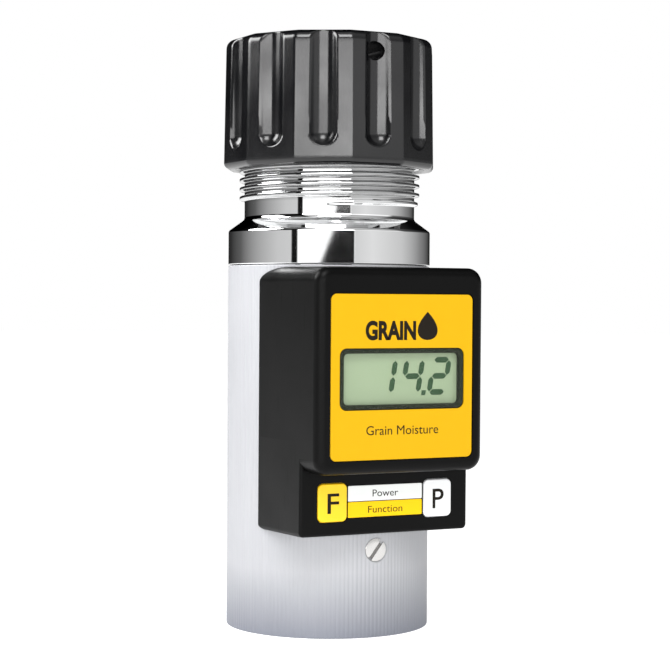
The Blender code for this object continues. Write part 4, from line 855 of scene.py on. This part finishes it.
def ringPiece(name, node, body, finish, outer):
    # a turned ring of the node's height round the press's stem
    low, high = boxOf(node)
    bore = pressPieces["stemBore"]
    corners = [(bore, low[2], 0.2), (outer, low[2], 0.25), (outer, high[2], 0.3), (bore, high[2], 0.25)]
    addPiece(name, meshFrom(name, *turned(softened(corners, 3))), finishes[finish], body, [node])


def solidPiece(name, node, body, finish, corners):
    # a turned solid without a bore, its outline closed along the axis
    outline = softened([(0, corners[0][1], 0), *corners, (0, corners[-1][1], 0)], 4)
    addPiece(name, meshFrom(name, *turned(outline)), finishes[finish], body, [node], 40)


ringPiece("stemBush", "stem_bush", "lid", "brass", pressPieces["bush"])
ringPiece("thrustWasher", "thrust_washer", "lid_carrier", "steel", pressPieces["washer"])

plateLow, plateHigh = boxOf("pressure_plate")
plateFoot, plateTop = plateLow[2], plateLow[2] + pressPieces["plateThickness"]
plateCorners = [
    (plateHigh[0] - pressPieces["plateChamfer"], plateFoot, 0.3),
    (plateHigh[0], plateFoot + pressPieces["plateChamfer"], 0.3),
    (plateHigh[0], plateTop, 0.4),
    (pressPieces["plateNeck"], plateTop, 0.5),
    (pressPieces["plateNeck"], plateHigh[2], 0.6),
]
solidPiece("pressurePlate", "pressure_plate", "press", "insulator", plateCorners)

buttonLow, buttonHigh = boxOf("indicator_button")
buttonCorners = [(buttonHigh[0], buttonLow[2], 0.2), (buttonHigh[0], buttonHigh[2], 1.2)]
solidPiece("indicatorButton", "indicator_button", "press", "indicator", buttonCorners)

electrodeLow, electrodeHigh = boxOf("centre_electrode")
electrodeCorners = [
    (electrode["shank"], electrodeLow[2], 0.3),
    (electrode["shank"], electrode["seat"], 0.1),
    (electrode["head"], electrode["seat"], 0.4),
    (electrode["head"], electrodeHigh[2], electrode["dome"]),
]
solidPiece(
    "centreElectrode", "centre_electrode", "meter_body", "plating", electrodeCorners
)

springSizes = (spring["radius"], spring["wire"], springLow[2], springHigh[2], spring["turns"])
springMesh = meshFrom("pistonSpring", *sweptSpring(*springSizes))
springPiece = addPiece(
    "pistonSpring", springMesh, finishes["steel"], "lid_carrier", ["piston_spring"], 60
)
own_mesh(springPiece)
print("press and electrode made")


# Housing

housing = {
    "halfFront": 31.2,
    "taper": 1.8,
    "taperDepth": 39.85,
    "step": 56.1,
    "keyFront": 40.8,
    "displayEdge": 3.2,
    "displayCorner": 5.0,
    "keyEdge": 1.0,
    "keyCorner": 1.6,
    "wall": 2.0,
    "keyWall": 1.2,
    "back": 10,  # the blocks' rear face, inside the tube's room
    "pocketBack": 14,
    "tubeGap": 0.3,
    "gap": 0.3,
}


def blockMesh(name, low, high, front, back, corner, edge, inset=0.0, steps=10):
    # rounded rectangles from the front face back, widening with the housing's taper; the front edge is a
    # quarter circle of the edge radius
    angle = 0.5 * pi * np.linspace(0, 1, 9)
    shrinks = [*edge * (1 - np.sin(angle)), 0.0]
    depths = [*front - edge * (1 - np.cos(angle)), back]
    outlines = []
    for shrink, depth in zip(shrinks, depths):
        half = housing["halfFront"] + housing["taper"] * (frontFace - depth) / housing["taperDepth"]
        bend = max(corner - shrink, 0.3)
        outlines.append(roundedOutline(half - inset - shrink, low + shrink, high - shrink, bend, steps))
    return meshFrom(name, *layered(outlines, depths))


def plateMesh(name, *sizes, **more):
    # plateSurface as a mesh
    return meshFrom(name, *plateSurface(*sizes, **more))


labelHalf, labelFoot, labelTop = labelHigh[0], labelLow[2], labelHigh[2]
lensHalf, lensFoot, lensTop = lensHigh[0], lensLow[2], lensHigh[2]
labelBack = -labelHigh[1]
windowBorder = 1.4
keys = {
    "width": 10.7,
    "height": 12.5,
    "middle": 46.35,
    "corner": 1.8,
    "gap": 0.25,
    "edge": 0.45,
    "spacing": 39.8,
    "flange": 0.9,  # round the key's foot, behind the panel
    "flangeThickness": 0.6,
}


def housingMesh():
    # a display box and a lower key panel joined, hollowed, cut to the tube, with rooms for the front's pieces
    front, wall, step = frontFace, housing["wall"], housing["step"]
    keyFront, corner = housing["keyFront"], housing["displayCorner"]
    low, high, back, pocketBack = shellLow[2], shellHigh[2], housing["back"], housing["pocketBack"]
    upper = blockMesh("upper", step, high, front, back, corner, housing["displayEdge"])
    lower = blockMesh("lower", low, step + 12, keyFront, back, housing["keyCorner"], housing["keyEdge"])
    pocket = blockMesh("pocket", step + wall, high - wall, front - wall, pocketBack, corner - wall, 1.2, wall)
    keyRoof = step + wall + 6
    keyPocket = blockMesh(
        "keyPocket", low + wall, keyRoof, keyFront - housing["keyWall"], pocketBack, 1.0, 0.5, wall
    )
    roomRadius, roomTop = tubeRadius + housing["tubeGap"], 140
    room = meshFrom("tubeRoom", *turned([(0, 0), (roomRadius, 0), (roomRadius, roomTop), (0, roomTop)], 256))
    gap, recess = housing["gap"], labelBack - 0.3
    sizes = (labelHalf + gap, labelFoot - gap, labelTop + gap, front + 2, recess, 2.3)
    label = plateMesh("labelRoom", *sizes, edge=0.05)
    opening = (lensHalf - windowBorder, lensFoot + windowBorder, lensTop - windowBorder)
    window = plateMesh("windowRoom", *opening, front + 3, front - 4, 1.5, edge=0.05)
    rooms = [pocket, keyPocket, label, window]
    gap = keys["gap"]
    keyFoot, keyTop = keys["middle"] - keys["height"] / 2 - gap, keys["middle"] + keys["height"] / 2 + gap
    for side in (-1, 1):
        sizes = (keys["width"] / 2 + gap, keyFoot, keyTop, keyFront + 3, keyFront - 3, keys["corner"] + gap)
        rooms.append(plateMesh("keyRoom", *sizes, edge=0.05, middle=side * keys["spacing"] / 2))
    strip = (stripHigh[0] + 0.15, stripLow[2] - 0.15, stripHigh[2] + 0.15, keyFront + 3, keyFront - 0.55, 0.5)
    rooms.append(plateMesh("stripRoom", *strip, edge=0.05))
    return carved(upper, [*rooms, room], [lower])


addPiece("housing", housingMesh(), finishes["housing"], "meter_body", ["housing_shell"])
print("housing made")


# Label, its print, the window and the display

printDepth = 0.03  # how far print stands on its surface


def textMesh(name, words, middle, baseline, capital, width, face, weight=0.0, slant=0.0):
    # outlines of the words, scaled so that a capital is the given height and the line the given width, stood
    # upright on the face; weight thickens the strokes as a share of the letter's height
    curve = bpy.data.curves.new(name, "FONT")
    curve.body, curve.extrude, curve.offset, curve.shear = words, 0.5, weight, slant
    curve.resolution_u = 6
    holder = bpy.data.objects.new(name + "Words", curve)
    scene.collection.objects.link(holder)
    bpy.context.view_layer.update()
    mesh = bpy.data.meshes.new_from_object(holder.evaluated_get(bpy.context.evaluated_depsgraph_get()))
    bpy.data.objects.remove(holder)
    points = np.empty(len(mesh.vertices) * 3)
    mesh.vertices.foreach_get("co", points)
    points = points.reshape(-1, 3)
    low, high = points.min(axis=0), points.max(axis=0)
    capitalHeight = 0.729 + 2 * weight
    across = (points[:, 0] - (low[0] + high[0]) / 2) * width / (high[0] - low[0]) + middle
    up = (points[:, 1] + weight) * capital / capitalHeight + baseline
    out = -face - printDepth * (points[:, 2] + 0.5)
    placedPoints = np.stack([across, out, up], axis=-1) * metresPerMm
    mesh.vertices.foreach_set("co", placedPoints.ravel())
    editable = bmesh.new()
    editable.from_mesh(mesh)
    bmesh.ops.remove_doubles(editable, verts=editable.verts, dist=1e-7)
    bmesh.ops.recalc_face_normals(editable, faces=editable.faces)
    editable.to_mesh(mesh)
    editable.free()
    return mesh


def flatMesh(name, outline, face):
    # a flat shape of (x, z) points standing printDepth proud of a face
    return meshFrom(name, *layered([outline, outline], [face, face + printDepth]))


labelFace = frontFace - printDepth
outer = roundedOutline(labelHalf, labelFoot, labelTop, 2.0, 10)
inner = roundedOutline(lensHalf + 0.3, lensFoot - 0.3, lensTop + 0.3, 2.5, 10)
soft = 0.12
edgeRow = roundedOutline(labelHalf - soft, labelFoot + soft, labelTop - soft, 2.0 - soft, 10)
labelRows = [outer, outer, edgeRow, inner, inner]
labelSurface = layered(labelRows, [labelBack, labelFace - soft, labelFace, labelFace, labelBack], joined=True)
addPiece("label", meshFrom("label", *labelSurface), finishes["label"], "meter_body", ["label_plate"])
title = textMesh("labelTitle", "GRAIN", -4.6, 99.5, 6.6, 18.8, labelFace, 0.045)
addPiece("labelTitle", title, finishes["ink"], "meter_body")
caption = textMesh("labelCaption", "Grain Moisture", 0.0, 68.9, 3.1, 27.0, labelFace)
addPiece("labelCaption", caption, finishes["ink"], "meter_body")

# a drop beside the title: it rises as 1 - cos t and is as wide as sin t times the root of (1 + cos t) / 2
drop = {"middle": 9.2, "foot": 99.5, "height": 9.2, "width": 6.4}
t = np.linspace(0, 2 * pi, 49)[:-1]
dropUp = drop["foot"] + drop["height"] * (1 - np.cos(t)) / 2
dropAcross = drop["middle"] + drop["width"] * 0.77 * np.sin(t) * (0.5 + 0.5 * np.cos(t)) ** 0.5
dropShape = np.stack([dropAcross, dropUp], axis=-1)
addPiece("labelDrop", flatMesh("labelDrop", dropShape, labelFace), finishes["ink"], "meter_body")

# the window's dark printed border lies on the back of the clear film
visible = (lensHalf - windowBorder, lensFoot + windowBorder, lensTop - windowBorder)
borderOuter = roundedOutline(lensHalf, lensFoot, lensTop, 2.2, 10)
borderInner = roundedOutline(*visible, 1.5, 10)
lensBack = -lensHigh[1]
borderSurface = frameSurface(borderOuter, borderInner, lensBack + 0.06, lensBack)
addPiece("windowBorder", meshFrom("windowBorder", *borderSurface), finishes["border"], "meter_body")
film = plateMesh("windowFilm", lensHalf, lensFoot, lensTop, labelFace, lensBack + 0.07, 2.2, edge=0.1)
addPiece("windowFilm", film, finishes["window"], "meter_body", ["window_lens"])

lcdFront = -lcdLow[1]
lcd = plateMesh("displayCell", lcdHigh[0], lcdLow[2], lcdHigh[2], lcdFront, -lcdHigh[1], 0.4, edge=0.1)
addPiece("displayCell", lcd, finishes["display"], "meter_body", ["lcd_panel"])

digits = {
    "height": 12.5,
    "width": 7.8,
    "pitch": 10.2,
    "stroke": 1.9,
    "slant": 0.17,
    "rightMargin": 1.6,
    "gap": 0.2,
    "rise": 0.7,  # of the figures above the window's middle
    "point": 1.6,
}
segmentsOf = {"1": "bc", "2": "abged", "4": "fgbc"}


def segmentOutline(start, end, half):
    # a bar from start to end whose ends are cut to a point on its middle line
    start, end = np.array(start, float), np.array(end, float)
    along = (end - start) / np.linalg.norm(end - start)
    side = half * np.array([-along[1], along[0]])
    tips = [start, start + half * along + side, end - half * along + side, end]
    return np.array(tips + [end - half * along - side, start + half * along - side])


def digitOutlines():
    # seven bars on the middle lines of a figure, leant over by the slant, one digit every pitch
    half, gap = digits["stroke"] / 2, digits["gap"]
    wide, tall = digits["width"] - 2 * half, digits["height"] - 2 * half
    foot = (lensFoot + lensTop) / 2 - digits["height"] / 2 + digits["rise"]
    bars = {
        "a": ((gap, tall), (wide - gap, tall)),
        "b": ((wide, tall - gap), (wide, tall / 2 + gap)),
        "c": ((wide, tall / 2 - gap), (wide, gap)),
        "d": ((gap, 0), (wide - gap, 0)),
        "e": ((0, tall / 2 - gap), (0, gap)),
        "f": ((0, tall - gap), (0, tall / 2 + gap)),
        "g": ((gap, tall / 2), (wide - gap, tall / 2)),
    }
    right = visible[0] - digits["rightMargin"] - digits["slant"] * digits["height"]
    outlines = []
    for column, figure in enumerate("142"):
        left = right - digits["width"] - (2 - column) * digits["pitch"]
        for bar in segmentsOf[figure]:
            outline = segmentOutline(*bars[bar], half) + (half, half)
            outlines.append(outline + (left, 0))
    point = digits["point"]
    pointLeft = right - digits["width"] - 0.5 * (digits["pitch"] - digits["width"]) - 0.75
    outlines.append(np.array([(0.0, 0.0), (point, 0.0), (point, point), (0.0, point)]) + (pointLeft, 0))
    for outline in outlines:
        outline[:, 0] += digits["slant"] * outline[:, 1]
        outline[:, 1] += foot
    return outlines


figurePoints, figureFaces = [], []
for outline in digitOutlines():
    points, faces = layered([outline, outline], [lcdFront, lcdFront + printDepth])
    figureFaces += [[corner + len(figurePoints) for corner in face] for face in faces]
    figurePoints += points.tolist()
figures = meshFrom("displayDigits", figurePoints, figureFaces)
addPiece("displayDigits", figures, finishes["digits"], "meter_body")
print("label, window and display made")


# Keys and the legend between them

keyLow, keyHigh = boxOf("f_key")
keyBack = -keyHigh[1]
keyFace = -keyLow[1] - printDepth
keyHalf = keys["width"] / 2
keyFoot, keyTop = keys["middle"] - keys["height"] / 2, keys["middle"] + keys["height"] / 2
keyRows = (("f_key", -1, "yellowKey", "yellow_key", "F"), ("p_key", 1, "whiteKey", "white_key", "P"))
for node, side, finish, slotName, letter in keyRows:
    middle = side * keys["spacing"] / 2
    sizes = (keyHalf, keyFoot, keyTop, keyFace, keyBack, keys["corner"])
    mesh = plateMesh(letter, *sizes, edge=keys["edge"], middle=middle)
    rim, flangeFront = keys["flange"], keyBack + keys["flangeThickness"]
    sizes = (keyHalf + rim, keyFoot - rim, keyTop + rim, flangeFront, keyBack, keys["corner"])
    flange = plateMesh("flange", *sizes, edge=0.1, middle=middle)
    name = letter.lower() + "Key"
    addPiece(name, carved(mesh, [], [flange]), finishes[finish], node, [node])
    mark = textMesh(name + "Letter", letter, middle + 0.2, keys["middle"] - 3.5, 7.0, 4.3, keyFace, 0.008)
    addPiece(name + "Letter", mark, finishes["ink"], node)

stripFront, stripBack = -stripLow[1], -stripHigh[1]
stripMiddle = (stripLow[2] + stripHigh[2]) / 2
stripHalf = stripHigh[0]
stripFace = stripFront - printDepth
halves = (
    ("Power", "whiteInk", stripMiddle + 0.12, stripHigh[2], 9.7, ["legend_strip"]),
    ("Function", "yellowInk", stripLow[2], stripMiddle - 0.12, 13.0, []),
)
for words, finish, low, high, width, nodes in halves:
    mesh = plateMesh("legend" + words, stripHalf, low, high, stripFace, stripBack, 0.35, edge=0.08)
    addPiece("legend" + words, mesh, finishes[finish], "meter_body", nodes)
    baseline = (low + high) / 2 - 1.2
    mesh = textMesh(words.lower() + "Word", words, 0.0, baseline, 2.4, width, stripFace)
    addPiece(words.lower() + "Word", mesh, finishes["ink"], "meter_body")
print("keys and legends made")


# Finishes for the nodes that are shown as the frame has them

nodeFinishes = {
    "base_cap": "component",
    "battery": "jacket",
    "battery_snap": "component",
    "board_header": "component",
    "chamber_floor": "insulator",
    "contact_strip": "rubber",
    "display_board_screw": "steel",
    "display_board": "board",
    "electrode_nut": "steel",
    "electrode_washer": "steel",
    "f_key_switch": "component",
    "floor_screw": "steel",
    "housing_back": "housing",
    "housing_screw": "steel",
    "key_board": "board",
    "lcd_holder": "insulator",
    "measuring_board_screw": "steel",
    "measuring_board": "board",
    "microcontroller": "component",
    "p_key_switch": "component",
    "piston_stem": "steel",
    "plate_screw": "steel",
    "temperature_probe": "steel",
}
for node, piece in sorted(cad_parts.items()):
    if piece.hide_render:
        continue
    start = next(prefix for prefix in sorted(nodeFinishes, key=len, reverse=True) if node.startswith(prefix))
    for holder in piece.material_slots:
        holder.material = finishes[nodeFinishes[start]]
print("finishes given to the frame's own nodes")


# Studio: pale floor and surroundings, a soft box behind the camera, two soft lights overhead

studio = {
    "azimuth": radians(-28),
    "distance": 660.0,
    "eye": 112.2,
    "lens": 101.7,
    "down": radians(1.045),
    "aside": 0.0033,
    "roll": -0.0068,
    "floorRadius": 6000.0,
}
# surroundings by direction from the camera's side, in degrees to the right, as screen grey: even panels that
# fall off towards the back, a narrow dark gap, the soft box, and the panel on its right
surroundings = [
    (-180, 30),
    (-150, 50),
    (-120, 95),
    (-90, 166),
    (-60, 205),
    (-43.3, 210),
    (-42.7, 22),
    (-36.4, 22),
    (-35.8, 255),
    (28.3, 255),
    (28.9, 215),
    (50, 230),
    (90, 205),
    (125, 138),
    (160, 40),
    (180, 30),
]
softBox = {
    "from": -36.0,
    "to": 28.6,
    "top": 8.6,  # elevation at which it has half faded
    "fade": 7.0,  # degrees over which it fades there
    "brightness": 10.5,
    "lowBrightness": 0.2,  # near the horizon, on top of the panels
    "aboveBrightness": 0.35,  # of the panels high up
    "ceiling": 0.25,
    "leftShare": 0.0,  # brightness of the panels above the horizon, on the left and on the right
    "rightShare": 1.6,
    "shadeTop": 3.1,  # the dark shape low in front of it, in degrees of elevation
    "shadeLeft": -7.0,  # where its left side stands at the elevation below
    "shadeFoot": 1.2,
    "shadeLean": 10.5,  # degrees to the right for each degree up
}


def buildSurroundings():
    # light by direction: degrees to the right of the camera's side and degrees above the horizon
    world = bpy.data.worlds.new("studio")
    scene.world = world
    world.use_nodes = True
    tree = world.node_tree
    tree.nodes.clear()
    finish = Finish(tree)
    where = finish.node("ShaderNodeTexCoord", output="Generated")
    x, y, z = (finish.node("ShaderNodeSeparateXYZ", {}, {0: where}, output) for output in range(3))
    turn = studio["azimuth"]
    right = x * cos(turn) + y * sin(turn)
    towards = x * sin(turn) - y * cos(turn)
    aside = finish.node("ShaderNodeMath", {"operation": "ARCTAN2"}, {0: right, 1: towards}) * degrees(1)
    above = finish.node("ShaderNodeMath", {"operation": "ARCSINE"}, {0: z}) * degrees(1)
    stops = [((a + 180) / 360, linear(grey)[0]) for a, grey in surroundings]
    grey = finish.node("ShaderNodeValToRGB", {"stops": stops}, {0: aside / 360 + 0.5})
    inside = finish.between(aside, 0, 1, softBox["from"] - 0.3, softBox["from"] + 0.3)
    inside = inside * finish.between(aside, 1, 0, softBox["to"] - 0.3, softBox["to"] + 0.3)
    half = softBox["fade"] / 2
    inside = inside * finish.between(above, 1, 0, softBox["top"] - half, softBox["top"] + half)
    edge = softBox["shadeLeft"] + softBox["shadeLean"] * (above - softBox["shadeFoot"])
    shaded = finish.between(aside - edge, 0, 1, -0.5, 0.5) * finish.between(aside, 1, 0, 28.0, 28.6)
    shaded = shaded * finish.between(above, 1, 0, softBox["shadeTop"] - 0.15, softBox["shadeTop"] + 0.15)
    box = inside * finish.between(above, softBox["lowBrightness"], softBox["brightness"], 3.6, 5.4)
    ceiling = softBox["ceiling"] * finish.between(above, 0, 1, 28, 48)
    # above the horizon the panels on the left are dark, the near one on the right is bright
    share = finish.between(aside, softBox["leftShare"], softBox["rightShare"], -37, -35)
    share = share - finish.between(aside, 0, softBox["rightShare"] - 0.3, 86, 96)
    panels = 1 + (share - 1) * finish.between(above, 0, 1, 4, 5.5)
    panels = panels * finish.between(above, 1, softBox["aboveBrightness"], 11, 16)
    brightness = (panels + box + ceiling) * (1 - 0.9985 * shaded)
    seen = finish.node("ShaderNodeLightPath", output="Is Camera Ray")
    pale = finish.blend(seen, grey, (1.0, 1.0, 1.0))
    strength = brightness * (1 - seen) + seen
    light = finish.node("ShaderNodeBackground", {}, {"Color": pale, "Strength": strength})
    finish.node("ShaderNodeOutputWorld", {}, {"Surface": light}, None)


def addAreaLight(name, centre, target, width, height, brightness):
    # a rectangle facing the target whose surface has the given brightness
    lamp = bpy.data.lights.new(name, "AREA")
    lamp.shape, lamp.size, lamp.size_y = "RECTANGLE", width * metresPerMm, height * metresPerMm
    lamp.energy = brightness * pi * lamp.size * lamp.size_y
    holder = bpy.data.objects.new(name, lamp)
    scene.collection.objects.link(holder)
    out = np.array(centre, float) - np.array(target, float)
    out /= np.linalg.norm(out)
    side = np.cross((0, 0, 1), out)
    side /= np.linalg.norm(side)
    up = np.cross(out, side)
    rows = [[side[i], up[i], out[i], centre[i] * metresPerMm] for i in range(3)]
    holder.matrix_world = Matrix([*rows, (0, 0, 0, 1)])


def buildStudio():
    # a round pale floor just under the foot, and the lamps
    buildSurroundings()
    sides = 96
    angle = 2 * pi * np.arange(sides) / sides
    rim = studio["floorRadius"] * np.stack([np.cos(angle), np.sin(angle)], axis=-1)
    floorPoints = np.insert(rim, 2, cadLow[2] / metresPerMm - 0.02, axis=1)
    mesh = meshFrom("floor", floorPoints, [list(range(sides))])
    material, shader, finish = newFinish("paleFloor", (0.55, 0.55, 0.55), 0.7, Emission_Strength=0.88)
    finish.feed(shader.inputs["Normal"], finish.bump(finish.noise(40, 2), 0.0002))
    mesh.materials.append(material)
    floor = bpy.data.objects.new("floor", mesh)
    scene.collection.objects.link(floor)
    addAreaLight("key", (-272, -511, 689), (0, 0, 80), 350, 350, 9.0)
    addAreaLight("upperLeft", (-380, 190, 400), (0, 0, 90), 300, 300, 12.0)


def buildCamera():
    camera = bpy.data.objects.new("camera", bpy.data.cameras.new("camera"))
    scene.collection.objects.link(camera)
    scene.camera = camera
    turn = studio["azimuth"]
    reach = studio["distance"]
    camera.location = np.array([reach * sin(turn), -reach * cos(turn), studio["eye"]]) * metresPerMm
    camera.rotation_euler = (pi / 2 - studio["down"], studio["roll"], turn - studio["aside"])
    camera.data.lens = studio["lens"]
    camera.data.sensor_width = 36.0
    camera.data.clip_start, camera.data.clip_end = 0.05, 50.0


buildStudio()
buildCamera()
scene.view_settings.view_transform = "Standard"
print("studio and camera placed")
